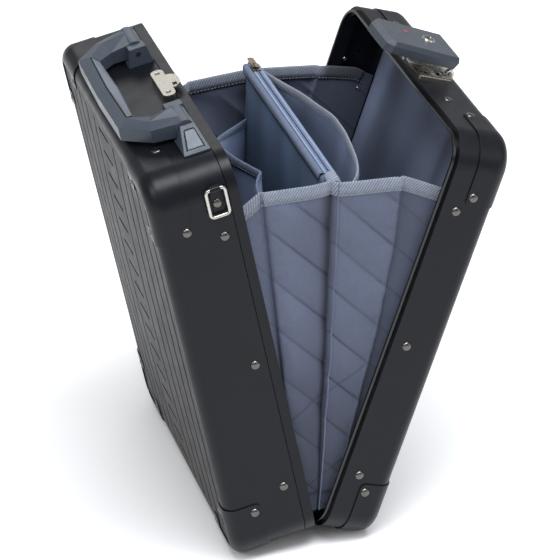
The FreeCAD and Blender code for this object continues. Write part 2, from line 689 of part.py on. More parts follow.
def latch_base():
    """Pressed nickel base on the lid's end face with two ears for the latch pin."""
    z = HEIGHT
    body = box(4.0, 42.5, -LATCH_HALF_L, LATCH_HALF_L, z, z + 1.8)
    body = body.makeFillet(6.0, [e for e in body.Edges if vertical(e)])
    rims = box(5.5, 41.0, -LATCH_HALF_L + 1.5, -LATCH_HALF_L + 3.3, z + 1.8, z + 3.6)
    rims = rims.fuse(box(5.5, 41.0, LATCH_HALF_L - 3.3, LATCH_HALF_L - 1.5, z + 1.8, z + 3.6))
    body = body.fuse(rims)
    for sign in (1, -1):
        y0, y1 = sign * 22.4, sign * 24.6
        ear = rod(V(LATCH_PIVOT_U, min(y0, y1), z + LATCH_PIVOT_Z), V(0, 1, 0), 4.4, 2.2)
        web = box(LATCH_PIVOT_U - 8, LATCH_PIVOT_U + 4.4, y0, y1, z + 1.5, z + LATCH_PIVOT_Z)
        body = body.fuse(ear).fuse(web)
    body = body.cut(rod(V(LATCH_PIVOT_U, -30, z + LATCH_PIVOT_Z), V(0, 1, 0), LATCH_PIN_R + 0.02, 60))
    for u, y in latch_screw_spots():
        body = body.cut(rod(V(u, y, z - 1), V(0, 0, 1), 1.4, 8))
    return body.removeSplitter()


def latch_screw_spots():
    return ((10.0, -16.0), (10.0, 16.0), (30.0, -14.0), (30.0, 14.0))


def latch_screws():
    screws = []
    for u, y in latch_screw_spots():
        head = dome(V(u, y, HEIGHT + 1.8), V(0, 0, 1), 2.8, 1.2)
        shank = rod(V(u, y, HEIGHT - WALL), V(0, 0, 1), 1.4, WALL + 1.8)
        screws.append(head.fuse(shank))
    return Part.makeCompound(screws)


def latch_pin():
    return rod(V(LATCH_PIVOT_U, -26.2, HEIGHT + LATCH_PIVOT_Z), V(0, 1, 0), LATCH_PIN_R, 52.4)


def latch_lever():
    """Nickel lever: two side arms on the pin, a bridge under the cover, and the hook."""
    z = HEIGHT
    pieces = []
    for sign in (1, -1):
        y0, y1 = sign * 19.6, sign * 22.0
        pieces.append(rod(V(LATCH_PIVOT_U, min(y0, y1), z + LATCH_PIVOT_Z), V(0, 1, 0), 4.2, 2.4))
        arm = loft(
            [V(LATCH_PIVOT_U, y0, z + 4.5), V(LATCH_PIVOT_U + 3, y0, z + POD_BOTTOM),
             V(-12.0, y0, z + POD_BOTTOM), V(-12.0, y0, z + 10.5)],
            [V(LATCH_PIVOT_U, y1, z + 4.5), V(LATCH_PIVOT_U + 3, y1, z + POD_BOTTOM),
             V(-12.0, y1, z + POD_BOTTOM), V(-12.0, y1, z + 10.5)])
        pieces.append(arm)
    pieces.append(box(-12.0, LATCH_PIVOT_U + 2, -22.0, 22.0, z + POD_BOTTOM - 2.0, z + POD_BOTTOM))
    pieces.append(box(HOOK_U - HOOK_HALF_T, HOOK_U + HOOK_HALF_T, HOOK_Y - HOOK_HALF_W, HOOK_Y + HOOK_HALF_W,
                      z + HOOK_BOTTOM, z + POD_BOTTOM - 1.0))
    body = fuse(pieces)
    bore = rod(V(LATCH_PIVOT_U, -30, z + LATCH_PIVOT_Z), V(0, 1, 0), LATCH_PIN_R + 0.05, 60)
    return body.cut(bore)


def cover_outline(tip_u, shoulder_u, back_u, half, tip_half, height):
    """Six-sided outline of the cover at one height: a blunt tip, two shoulders and a square back."""
    return [V(tip_u, -tip_half, height), V(shoulder_u, -half, height), V(back_u, -half, height),
            V(back_u, half, height), V(shoulder_u, half, height), V(tip_u, tip_half, height)]


def latch_cover():
    """Faceted plastic cover of the latch, wider at its foot on the free side."""
    z = HEIGHT
    left, right, half = POD_LEFT, POD_RIGHT, POD_HALF_L
    foot = cover_outline(left - 3.0, left + 4.0, right - 2.5, half, half - 7.0, z + POD_BOTTOM)
    waist = cover_outline(left - 2.0, left + 5.0, right + 0.8, half, half - 6.5, z + POD_TOP - 5.0)
    crown = cover_outline(left + 1.5, left + 6.5, right - 0.5, half - 1.5, half - 6.5, z + POD_TOP)
    body = fuse([loft(foot, waist), loft(waist, crown)])
    body = body.cut(rod(V(CYL_U, CYL_Y, z + POD_TOP - 6), V(0, 0, 1), CYL_R + 0.06, 10))
    body = body.cut(rod(V(CYL_U, CYL_Y, z + POD_TOP - 1.2), V(0, 0, 1), BEZEL_R, 4))
    body = body.cut(rod(V(-10.0, 10.0, z + POD_TOP - 1.0), V(0, 0, 1), 2.0, 4))
    return body


def latch_bezel():
    z = HEIGHT + POD_TOP - 1.2
    ring_outer = Part.makeCone(BEZEL_R, BEZEL_R - 1.2, 2.2, V(CYL_U, CYL_Y, z), V(0, 0, 1))
    return ring_outer.cut(rod(V(CYL_U, CYL_Y, z - 1), V(0, 0, 1), CYL_R + 0.06, 6))


def key_plug():
    z = HEIGHT + POD_TOP
    body = rod(V(CYL_U, CYL_Y, z - 5.9), V(0, 0, 1), CYL_R, 6.4)
    slot = box(CYL_U - 0.8, CYL_U + 0.8, CYL_Y - 3.2, CYL_Y + 3.2, z - 3.5, z + 2)
    return body.cut(slot)


def latch_index():
    return rod(V(-10.0, 10.0, HEIGHT + POD_TOP - 1.0), V(0, 0, 1), 2.0, 1.4)


# ---------------------------------------------------------------- strap rings

def ring_axis_y(sign):
    return sign * (WIDTH / 2 + RING_STAND_OFF)


def strap_ring(sign):
    """Rounded wire ring hanging from its top bar."""
    y = ring_axis_y(sign)
    x0, x1 = -(RING_U + RING_HALF_W), -(RING_U - RING_HALF_W)
    r = 4.0
    k = r * (1 - math.sqrt(0.5))
    top, low = RING_TOP_V, RING_BOTTOM_V
    path = Part.Wire([
        Part.makeLine(V(x0 + r, y, low), V(x1 - r, y, low)),
        Part.Arc(V(x1 - r, y, low), V(x1 - k, y, low + k), V(x1, y, low + r)).toShape(),
        Part.makeLine(V(x1, y, low + r), V(x1, y, top - r)),
        Part.Arc(V(x1, y, top - r), V(x1 - k, y, top - k), V(x1 - r, y, top)).toShape(),
        Part.makeLine(V(x1 - r, y, top), V(x0 + r, y, top)),
        Part.Arc(V(x0 + r, y, top), V(x0 + k, y, top - k), V(x0, y, top - r)).toShape(),
        Part.makeLine(V(x0, y, top - r), V(x0, y, low + r)),
        Part.Arc(V(x0, y, low + r), V(x0 + k, y, low + k), V(x0 + r, y, low)).toShape(),
    ])
    profile = Part.Wire([Part.makeCircle(RING_WIRE_R, V((x0 + x1) / 2, y, low), V(1, 0, 0))])
    return path.makePipeShell([profile], True, True)


def strap_bracket(sign):
    """Riveted tab whose upper end wraps the ring's top bar."""
    wall_y = sign * WIDTH / 2
    y = ring_axis_y(sign)
    half = 5.2
    strip = box(-(RING_U - half), -(RING_U + half), wall_y, wall_y + sign * BRACKET_T,
                RING_TOP_V - 26, RING_TOP_V + 1.0)
    roll = rod(V(-(RING_U + half), y, RING_TOP_V), V(1, 0, 0), RING_WIRE_R + RING_PLAY + 1.1, 2 * half)
    foot = box(-(RING_U - half), -(RING_U + half), wall_y, y, RING_TOP_V - 1.5, RING_TOP_V + 2.8)
    body = fuse([strip, roll, foot])
    return body.cut(rod(V(-(RING_U + half + 1), y, RING_TOP_V), V(1, 0, 0), RING_WIRE_R + RING_PLAY,
                        2 * half + 2))


def bracket_rivet(sign):
    outward = V(0, sign, 0)
    seat = V(-RING_U, sign * (WIDTH / 2 + BRACKET_T), RING_TOP_V - 17.5)
    return rivet(seat, outward, BRACKET_T + WALL)


# ---------------------------------------------------------------- interior, drawn in the middle plane

def sector(y0, y1, angle_from, angle_to):
    """Flat gusset leaf: a sector about the hinge axis between two angles from vertical."""
    points = []
    steps = 12
    for r, order in ((GUSSET_R_OUT, range(steps + 1)), (GUSSET_R_IN, range(steps, -1, -1))):
        for i in order:
            a = math.radians(angle_from + (angle_to - angle_from) * i / steps)
            points.append(V(r * math.sin(a), y0, r * math.cos(a) - HINGE_DROP))
    face = Part.Face(Part.makePolygon(points + [points[0]]))
    return face.extrude(V(0, y1 - y0, 0))


def divider_panel():
    h = DIVIDER_T / 2
    body = box(-h, h, -DIVIDER_HALF_W, DIVIDER_HALF_W, DIVIDER_BOTTOM, DIVIDER_TOP)
    return body.makeFillet(1.2, [e for e in body.Edges if abs(e.Length - 2 * DIVIDER_HALF_W) < 0.01])


def bulged_sheet(side, top, line):
    """Open-topped pocket of even thickness: flat on the divider at its foot, bulged at its mouth.

    line lists (y, stand-off) of the mouth seen from above.
    """
    face_x = DIVIDER_T / 2
    last = len(line) - 1
    normals = []
    for i in range(last + 1):
        y0, x0 = line[max(i - 1, 0)]
        y1, x1 = line[min(i + 1, last)]
        run = math.hypot(y1 - y0, x1 - x0)
        normals.append((-(x1 - x0) / run, (y1 - y0) / run))
    mouth_in = [V(side * (face_x + x), y, top) for y, x in line]
    mouth_out = [V(side * (face_x + x + n[1] * POCKET_T), y + n[0] * POCKET_T, top)
                 for (y, x), n in zip(line, normals)]
    foot_in = [V(side * face_x, y, POCKET_BOTTOM) for y, x in line]
    foot_out = [V(side * (face_x + POCKET_T), y + n[0] * POCKET_T, POCKET_BOTTOM)
                for (y, x), n in zip(line, normals)]
    polygons = [foot_in + foot_out[::-1], mouth_in + mouth_out[::-1]]
    for foot, mouth in ((foot_in, mouth_in), (foot_out, mouth_out)):
        for i in range(last):
            polygons += [(foot[i], foot[i + 1], mouth[i + 1]), (foot[i], mouth[i + 1], mouth[i])]
    for k in (0, -1):
        polygons += [(foot_in[k], foot_out[k], mouth_out[k]), (foot_in[k], mouth_out[k], mouth_in[k])]
    return solid_of(polygons)


def lid_pocket():
    """Document pocket on the lid side: one wide bulge from end to end."""
    steps = 14
    line = []
    for i in range(steps + 1):
        t = -1 + 2 * i / steps
        stand_off = 0.4 + LID_POCKET_BULGE * (1 - t * t) ** 0.8
        line.append((t * POCKET_HALF_W, stand_off))
    return bulged_sheet(1, LID_POCKET_TOP, line)


def base_pocket():
    """Slack pocket on the base side, stitched into two compartments."""
    return bulged_sheet(-1, BASE_POCKET_TOP, BASE_POCKET_LINE)


def zip_tape():
    return box(-ZIP_TAPE_W / 2, ZIP_TAPE_W / 2, ZIP_NEAR, ZIP_FAR, DIVIDER_TOP, DIVIDER_TOP + 0.9)


def zip_teeth():
    return box(-1.8, 1.8, ZIP_NEAR + 3, ZIP_FAR - 3, DIVIDER_TOP + 0.9, DIVIDER_TOP + 2.4)


def zip_slider():
    """Slider straddling the closed teeth, with a small bridge for its pull."""
    z0 = DIVIDER_TOP + ZIP_SLIDER_LIFT
    y0, y1 = SLIDER_Y - 6, SLIDER_Y + 6
    body = box(-4.2, 4.2, y0, y1, z0, z0 + 3.4)
    body = body.cut(box(-2.0, 2.0, y0 - 1, y1 + 1, z0 - 1, DIVIDER_TOP + 2.6))
    bridge = box(-1.4, 1.4, y0 + 2, y1 - 2, z0 + 3.2, z0 + 6.2)
    bridge = bridge.cut(box(-2, 2, y0 + 3.6, y1 - 3.6, z0 + 3.5, z0 + 5.0))
    return body.fuse(bridge).removeSplitter()


def zip_pull():
    """Pull tab lying over the end of the zip, its cross bar held under the slider's bridge."""
    z = DIVIDER_TOP + ZIP_SLIDER_LIFT + PULL_AXIS_UP
    half_t = 0.55
    bar = rod(V(-3.3, SLIDER_Y, z), V(1, 0, 0), half_t, 6.6)
    pieces = [bar]
    for sign in (-1, 1):
        pieces.append(box(sign * 2.0, sign * 3.3, SLIDER_Y - half_t, SLIDER_Y + 9.0, z - half_t, z + half_t))
    tab_end = SLIDER_Y + PULL_LENGTH
    tab = box(-3.3, 3.3, SLIDER_Y + 8.0, tab_end, z - half_t, z + half_t)
    tab = tab.makeFillet(2.2, [e for e in tab.Edges if vertical(e) and e.Vertexes[0].Point.y > tab_end - 1])
    pieces.append(tab)
    return fuse(pieces)


# ---------------------------------------------------------------- pose of the halves

def lowest(depth, tilt):
    """Height of the rounded lower outer edge below the hinge axis at a tilt."""
    a = math.radians(tilt)
    u = depth - EDGE_R
    v = EDGE_R + HINGE_DROP
    return -u * math.sin(a) + v * math.cos(a) - EDGE_R


def base_tilt():
    """Tilt of the base at which both lower outer edges, with their caps, touch the floor."""
    low, high = 0.0, OPEN_ANGLE
    for _ in range(60):
        mid = (low + high) / 2
        if lowest(BASE_DEPTH, mid) > lowest(LID_DEPTH, OPEN_ANGLE - mid):
            low = mid
        else:
            high = mid
    return (low + high) / 2


TILT_BASE = base_tilt()
TILT_LID = OPEN_ANGLE - TILT_BASE
TILT_MID = (TILT_LID - TILT_BASE) / 2
AXIS = V(0, 0, -HINGE_DROP)


def pose(shape, tilt):
    turned = shape.copy()
    turned.rotate(AXIS, V(0, 1, 0), tilt)
    return turned


BASE = -1
LID = 1

base_parts = {}
lid_parts = {}
mid_parts = {}

# base half
base_rivets, base_rivet_holes = make_rivets(BASE, "base")
base_screws, base_screw_holes = cap_screws(BASE, BASE_DEPTH)
shell = case_half(BASE, BASE_DEPTH, RIM_DEPTH + BAND_GAP).cut(base_rivet_holes).cut(base_screw_holes)
for hole_y in (-KEEPER_SCREW_Y, KEEPER_SCREW_Y):
    shell = shell.cut(rod(V(-KEEPER_U, hole_y, HEIGHT - 5), V(0, 0, 1), KEEPER_SCREW_R, 10))
base_screw_set = hinge_screws(BASE)
base_leaf = hinge_leaf(BASE, 0).cut(base_screw_set)
frame = base_frame(BASE).cut(base_rivet_holes)
for sign in (-1, 1):
    shell = shell.cut(bracket_rivet(sign))
    frame = frame.cut(bracket_rivet(sign))
for hole_y in (-KEEPER_SCREW_Y, KEEPER_SCREW_Y):
    frame = frame.cut(rod(V(-KEEPER_U, hole_y, HEIGHT - 8), V(0, 0, 1), KEEPER_SCREW_R, 10))
base_parts["base_shell"] = shell.cut(base_screw_set)
base_parts["base_frame"] = frame
base_parts["base_gasket"] = gasket(BASE)
panel = rib_panel(BASE, BASE_DEPTH).cut(base_screw_holes).cut(base_parts["base_shell"])
for name, solid in corner_caps(BASE, BASE_DEPTH, CAP_WIDTH).items():
    base_parts["base_cap_" + name] = solid.cut(base_rivet_holes).cut(base_screw_holes)
    panel = panel.cut(base_parts["base_cap_" + name])
base_parts["base_panel"] = panel
base_parts["base_rivets"] = base_rivets
base_parts["base_cap_screws"] = base_screws
base_parts["base_lining"] = lining(BASE, BASE_DEPTH)
base_parts["hinge_leaf_base"] = base_leaf
base_parts["hinge_screws_base"] = base_screw_set
base_parts["hinge_pin"] = rod(V(0, -HINGE_HALF, -HINGE_DROP), V(0, 1, 0), HINGE_PIN_R, 2 * HINGE_HALF)
base_parts["handle_body"] = handle_body().cut(handle_grip_insert())
base_parts["handle_grip_insert"] = handle_grip_insert()
for sign, word in ((-1, "near"), (1, "far")):
    base_parts["handle_mount_" + word] = handle_mount(sign)
    base_parts["strap_ring_" + word] = strap_ring(sign)
    base_parts["strap_bracket_" + word] = strap_bracket(sign).cut(bracket_rivet(sign))
base_parts["handle_mount_inlays"] = Part.makeCompound([mount_cover(-1), mount_cover(1)])
base_parts["handle_pins"] = Part.makeCompound([handle_pin(-1), handle_pin(1)])
base_parts["strap_rivets"] = Part.makeCompound([bracket_rivet(-1), bracket_rivet(1)])
base_parts["keeper_block"] = keeper_block()
base_parts["keeper_plate"] = keeper_plate()
base_parts["keeper_screws"] = keeper_screws()

# lid half
lid_rivets, lid_rivet_holes = make_rivets(LID, "lid")
lid_screws, lid_screw_holes = cap_screws(LID, LID_DEPTH)
lid_screw_set = hinge_screws(LID)
shell = case_half(LID, LID_DEPTH, RIM_SET_BACK).cut(lid_rivet_holes).cut(lid_screw_holes)
for hole_u, hole_y in latch_screw_spots():
    shell = shell.cut(rod(V(hole_u, hole_y, HEIGHT - 5), V(0, 0, 1), 1.4, 10))
lid_parts["lid_shell"] = shell.cut(lid_screw_set)
lid_parts["lid_frame"] = lid_frame(LID).cut(lid_rivet_holes)
lid_parts["lid_tongue"] = lid_tongue(LID)
panel = rib_panel(LID, LID_DEPTH).cut(lid_screw_holes).cut(lid_parts["lid_shell"])
for name, solid in corner_caps(LID, LID_DEPTH, CAP_LID_WIDTH).items():
    lid_parts["lid_cap_" + name] = solid.cut(lid_rivet_holes).cut(lid_screw_holes)
    panel = panel.cut(lid_parts["lid_cap_" + name])
lid_parts["lid_panel"] = panel
lid_parts["lid_rivets"] = lid_rivets
lid_parts["lid_cap_screws"] = lid_screws
lid_parts["lid_lining"] = lining(LID, LID_DEPTH)
lid_parts["hinge_leaf_lid"] = hinge_leaf(LID, 1).cut(lid_screw_set)
lid_parts["hinge_screws_lid"] = lid_screw_set
lid_parts["latch_base"] = latch_base()
lid_parts["latch_base_screws"] = latch_screws()
lid_parts["latch_pin"] = latch_pin()
latch_axis = V(LATCH_PIVOT_U, 0, HEIGHT + LATCH_PIVOT_Z)
for name, maker in (("latch_lever", latch_lever), ("latch_cover", latch_cover), ("latch_bezel", latch_bezel),
                    ("key_plug", key_plug), ("latch_index", latch_index)):
    lifted = maker()
    lifted.rotate(latch_axis, V(0, 1, 0), LATCH_LIFT)
    lid_parts[name] = lifted

# middle leaf
mid_parts["divider_panel"] = divider_panel()
mid_parts["divider_pocket_lid"] = lid_pocket()
mid_parts["divider_pocket_base"] = base_pocket()
mid_parts["zip_tape"] = zip_tape()
mid_parts["zip_teeth"] = zip_teeth()
mid_parts["zip_slider"] = zip_slider()
mid_parts["zip_pull"] = zip_pull()

for name, shape in base_parts.items():
    parts[name] = pose(shape, -TILT_BASE)
for name, shape in lid_parts.items():
    parts[name] = pose(shape, TILT_LID)
for name, shape in mid_parts.items():
    parts[name] = pose(shape, TILT_MID)
for sign, word in ((-1, "near"), (1, "far")):
    parts["gusset_" + word] = sector(sign * GUSSET_Y, sign * (GUSSET_Y - GUSSET_T),
                                     -TILT_BASE + GUSSET_CLEAR_ANGLE, TILT_LID - GUSSET_CLEAR_ANGLE)

# origin at the centre of the floor footprint
whole = Part.makeCompound(list(parts.values())).optimalBoundingBox(False)
shift = V(-(whole.XMin + whole.XMax) / 2, -(whole.YMin + whole.YMax) / 2, -whole.ZMin)

os.makedirs("parts", exist_ok=True)
for name, shape in parts.items():
    placed = shape.copy()
    placed.translate(shift)
    placed.exportStep("parts/%s.step" % name)
    ok = placed.isValid()
    note = "" if ok else "INVALID"
    print("%-26s solids %2d volume %10.1f %s" % (name, len(placed.Solids), placed.Volume, note))

print("tilt base %.4f lid %.4f mid %.4f" % (TILT_BASE, TILT_LID, TILT_MID))
print("shift %.4f %.4f %.4f" % (shift.x, shift.y, shift.z))
print("size %.2f %.2f %.2f" % (whole.XLength, whole.YLength, whole.ZLength))
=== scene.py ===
import json
import math

import bpy
import numpy as np
from mathutils import Matrix, Vector, noise


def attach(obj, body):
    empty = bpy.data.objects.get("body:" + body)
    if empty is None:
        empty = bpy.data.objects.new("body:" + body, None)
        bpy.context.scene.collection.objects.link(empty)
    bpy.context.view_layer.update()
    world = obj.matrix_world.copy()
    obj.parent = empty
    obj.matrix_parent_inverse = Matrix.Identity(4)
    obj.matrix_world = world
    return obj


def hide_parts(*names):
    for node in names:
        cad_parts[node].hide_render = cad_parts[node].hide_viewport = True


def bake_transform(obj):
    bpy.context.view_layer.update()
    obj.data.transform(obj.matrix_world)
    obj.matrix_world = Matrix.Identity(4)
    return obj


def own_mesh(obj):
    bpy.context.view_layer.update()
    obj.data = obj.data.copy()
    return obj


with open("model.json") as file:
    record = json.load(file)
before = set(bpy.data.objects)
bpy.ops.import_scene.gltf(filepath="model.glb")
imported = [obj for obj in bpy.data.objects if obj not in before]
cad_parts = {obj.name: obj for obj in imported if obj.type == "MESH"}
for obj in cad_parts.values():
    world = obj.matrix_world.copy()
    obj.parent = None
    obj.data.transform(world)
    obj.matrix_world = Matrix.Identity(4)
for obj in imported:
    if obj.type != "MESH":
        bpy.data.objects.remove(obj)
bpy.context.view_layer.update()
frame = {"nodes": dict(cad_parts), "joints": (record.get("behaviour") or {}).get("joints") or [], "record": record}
NODES = frame["nodes"]

# ------------------------------------------------------------------ frames and sizes
# Each half has its own closed-case frame, in mm: u outward from the parting plane,
# y along the hinge, v up from the hinge side. The divider's frame stands between them.
MM = 0.001
HINGE_DROP = 5.0
WIDTH = 342.0
HEIGHT = 458.0
DEPTH = {"base": 88.0, "lid": 57.0}
LEAN = 3.6649
HALF_OPEN = 14.7
TILT = {"base": LEAN - HALF_OPEN, "lid": LEAN + HALF_OPEN, "divider": LEAN}
SIDE = {"base": -1.0, "lid": 1.0, "divider": 1.0}
hinge = Vector([j for j in frame["joints"] if j["name"] == "lid_hinge"][0]["pos_m"])


def place(body, u, y, v):
    """A point of a half's own frame, in mm, as a point of the row frame, in metres."""
    a = math.radians(TILT[body])
    x = SIDE[body] * u
    z = v + HINGE_DROP
    turned = Vector((x * math.cos(a) + z * math.sin(a), y, -x * math.sin(a) + z * math.cos(a)))
    return Vector((hinge.x, 0.0, hinge.z)) + turned * MM


def direction(body, u, y, v):
    """A direction of a half's own frame, as a unit vector of the row frame."""
    a = math.radians(TILT[body])
    x = SIDE[body] * u
    return Vector((x * math.cos(a) + v * math.sin(a), y, -x * math.sin(a) + v * math.cos(a))).normalized()


def lerp(a, b, t):
    """Value a share t of the way from a to b."""
    return a + (b - a) * t


def smooth(t):
    """Smooth step from 0 to 1 as t goes from 0 to 1."""
    t = min(max(t, 0.0), 1.0)
    return t * t * (3 - 2 * t)


def along(table, x):
    """Value at x of a line through (x, value) pairs, level beyond its ends."""
    return float(np.interp(x, [p[0] for p in table], [p[1] for p in table]))


# ------------------------------------------------------------------ camera
camera_data = bpy.data.cameras.new("camera")
camera_data.sensor_width = 36.0
camera_data.lens = 196.78
camera_data.clip_end = 50.0
camera = bpy.data.objects.new("camera", camera_data)
camera.location = (-0.82587, -2.60290, 1.82303)
camera.rotation_euler = [math.radians(a) for a in (59.6379, 0.1137, -17.6960)]
bpy.context.scene.collection.objects.link(camera)
bpy.context.scene.camera = camera


# ------------------------------------------------------------------ materials
# Length of one wave of the wave texture at scale 1.
WAVE_LENGTH = 0.314159
SHEEN_LIFT = 4.0


class Look:
    """A node material with a Principled shader and short calls for its textures."""

    def __init__(self, name, color, roughness, metallic=0.0, specular=0.5, sheen=0.0):
        self.material = bpy.data.materials.new(name)
        self.material.use_nodes = True
        self.tree = self.material.node_tree
        self.shader = self.tree.nodes["Principled BSDF"]
        self.color = color
        self.shader.inputs["Base Color"].default_value = (*color, 1.0)
        self.shader.inputs["Roughness"].default_value = roughness
        self.shader.inputs["Metallic"].default_value = metallic
        self.shader.inputs["Specular IOR Level"].default_value = specular
        self.shader.inputs["Sheen Weight"].default_value = sheen
        self.shader.inputs["Sheen Roughness"].default_value = 0.45
        self.shader.inputs["Sheen Tint"].default_value = (*[min(c * SHEEN_LIFT, 1.0) for c in color], 1.0)
        self.roughness = roughness
        self.normal = None
        self.tint = None

    def node(self, kind):
        return self.tree.nodes.new(kind)

    def link(self, a, b):
        self.tree.links.new(a, b)

    def coords(self, kind="Object", turn=0.0):
        """Texture coordinates, turned by an angle about their third axis."""
        source = self.node("ShaderNodeTexCoord")
        mapping = self.node("ShaderNodeMapping")
        mapping.inputs["Rotation"].default_value = (0, 0, turn)
        self.link(source.outputs[kind], mapping.inputs["Vector"])
        return mapping.outputs["Vector"]

    def local(self, body):
        """Sockets of u, y and v in a half's own frame, in mm, and of all three as one vector."""
        a = math.radians(TILT[body])
        turned = Matrix.Rotation(-a, 3, "Y") @ hinge * 1000
        source = self.node("ShaderNodeTexCoord")
        mapping = self.node("ShaderNodeMapping")
        mapping.inputs["Scale"].default_value = (1000, 1000, 1000)
        mapping.inputs["Rotation"].default_value = (0, -a, 0)
        mapping.inputs["Location"].default_value = (-turned.x, 0, -turned.z - HINGE_DROP)
        self.link(source.outputs["Object"], mapping.inputs["Vector"])
        parts = self.node("ShaderNodeSeparateXYZ")
        self.link(mapping.outputs["Vector"], parts.inputs[0])
        u = self.math("MULTIPLY", parts.outputs["X"], SIDE[body])
        return u, parts.outputs["Y"], parts.outputs["Z"], mapping.outputs["Vector"]

    def noise(self, scale, detail=3.0, coords=None):
        texture = self.node("ShaderNodeTexNoise")
        texture.inputs["Scale"].default_value = scale
        texture.inputs["Detail"].default_value = detail
        texture.inputs["Roughness"].default_value = 0.55
        self.link(coords or self.coords(), texture.inputs["Vector"])
        return texture.outputs["Fac"]

    def wave(self, pitch, coords, distortion, axis):
        """Bands of that pitch, in metres, across an axis of the coordinates."""
        texture = self.node("ShaderNodeTexWave")
        texture.bands_direction = axis
        texture.inputs["Scale"].default_value = WAVE_LENGTH / pitch
        texture.inputs["Distortion"].default_value = distortion
        self.link(coords, texture.inputs["Vector"])
        return texture.outputs["Fac"]

    def ramp(self, value, low, high, out_low, out_high):
        """The value mapped from low..high to out_low..out_high."""
        made = self.node("ShaderNodeMapRange")
        made.inputs["From Min"].default_value = low
        made.inputs["From Max"].default_value = high
        made.inputs["To Min"].default_value = out_low
        made.inputs["To Max"].default_value = out_high
        self.link(value, made.inputs["Value"])
        return made.outputs["Result"]

    def math(self, operation, a, b=None):
        made = self.node("ShaderNodeMath")
        made.operation = operation
        for i, x in enumerate((a, b)):
            if x is None:
                continue
            if isinstance(x, (int, float)):
                made.inputs[i].default_value = x
            else:
                self.link(x, made.inputs[i])
        return made.outputs[0]

    def shade(self, factor):
        """Multiplies the colour by a factor."""
        if self.tint is None:
            self.tint = factor
        else:
            self.tint = self.math("MULTIPLY", self.tint, factor)

    def mottle(self, scale, amount):
        """Uneven colour, lighter and darker by that share."""
        self.shade(self.ramp(self.noise(scale), 0.25, 0.75, 1 - amount, 1 + amount))

    def vary_roughness(self, scale, amount):
        value = self.ramp(self.noise(scale, 4.0), 0.3, 0.7,
                          max(self.roughness - amount, 0.02), self.roughness + amount)
        self.link(value, self.shader.inputs["Roughness"])

    def bump(self, height, distance, strength=1.0):
        made = self.node("ShaderNodeBump")
        made.inputs["Distance"].default_value = distance
        made.inputs["Strength"].default_value = strength
        self.link(height, made.inputs["Height"])
        if self.normal is not None:
            self.link(self.normal, made.inputs["Normal"])
        self.normal = made.outputs["Normal"]

    def soft_edges(self, radius):
        """Rounds the shading of sharp edges by that radius, in metres."""
        made = self.node("ShaderNodeBevel")
        made.samples = 4
        made.inputs["Radius"].default_value = radius
        self.normal = made.outputs["Normal"]

    def tone(self):
        """Multiplies the colour by the mesh's own tone attribute, which carries painted light and shade."""
        made = self.node("ShaderNodeAttribute")
        made.attribute_name = "tone"
        self.shade(made.outputs["Fac"])

    def done(self):
        """Joins colour and normal to the shader, and gives the material."""
        if self.tint is not None:
            made = self.node("ShaderNodeMix")
            made.data_type = "RGBA"
            made.blend_type = "MULTIPLY"
            made.inputs["Factor"].default_value = 1.0
            made.inputs[6].default_value = (*self.color, 1.0)
            self.link(self.tint, made.inputs[7])
            self.link(made.outputs[2], self.shader.inputs["Base Color"])
        if self.normal is not None:
            self.link(self.normal, self.shader.inputs["Normal"])
        return self.material


def painted(name, color, roughness, specular, grain=0.000012):
    """Powder-coated metal: fine grain, uneven gloss, softened edges."""
    look = Look(name, color, roughness, specular=specular)
    look.soft_edges(0.0006)
    look.bump(look.noise(2600.0, 2.0), grain)
    look.mottle(35.0, 0.08)
    look.vary_roughness(60.0, 0.05)
    return look.done()


def bare_metal(name, color, roughness):
    """Plated or plain metal with slight wear in its gloss."""
    look = Look(name, color, roughness, metallic=1.0)
    look.soft_edges(0.0003)
    look.mottle(300.0, 0.1)
    look.vary_roughness(400.0, 0.07)
    look.bump(look.noise(600.0), 0.000006, 0.5)
    return look.done()


def moulded(name, color, roughness, specular=0.45):
    """Satin moulded plastic with a fine spark-eroded grain."""
    look = Look(name, color, roughness, specular=specular)
    look.soft_edges(0.0008)
    look.bump(look.noise(3200.0, 2.0), 0.00002)
    look.mottle(25.0, 0.05)
    look.vary_roughness(90.0, 0.05)
    return look.done()


THREAD_PITCH = 0.0009
TWILL_LEAN = math.radians(30.0)


def woven(name, color, amount=0.18):
    """Plain-woven nylon: warp and weft threads, uneven dye, soft sheen."""
    look = Look(name, color, 0.72, specular=0.3, sheen=0.12)
    coords = look.coords("UV")
    warp = look.wave(THREAD_PITCH, coords, 0.3, "X")
    weft = look.wave(THREAD_PITCH, coords, 0.3, "Y")
    threads = look.math("MAXIMUM", warp, weft)
    look.shade(look.ramp(threads, 0.3, 1.0, 1 - amount, 1.0))
    look.mottle(14.0, 0.07)
    look.mottle(220.0, 0.05)
    # Painted light and shade from the mesh's tone attribute.
    look.tone()
    look.bump(threads, 0.00012)
    look.bump(look.noise(30.0), 0.0008, 0.5)
    return look.done()


def webbing(name, color, pitch, depth=0.0003, contrast=0.5):
    """Twill tape: raised ribs that run slantwise across the tape."""
    look = Look(name, color, 0.8, specular=0.25, sheen=0.25)
    coords = look.coords("UV", TWILL_LEAN)
    ribs = look.wave(pitch, coords, 0.25, "Y")
    threads = look.wave(pitch / 2.6, look.coords("UV"), 0.4, "X")
    look.shade(look.ramp(ribs, 0.05, 0.75, contrast, 1.0))
    look.mottle(150.0, 0.12)
    # Painted light and shade from the mesh's tone attribute.
    look.tone()
    look.bump(ribs, depth)
    look.bump(threads, depth / 3)
    return look.done()


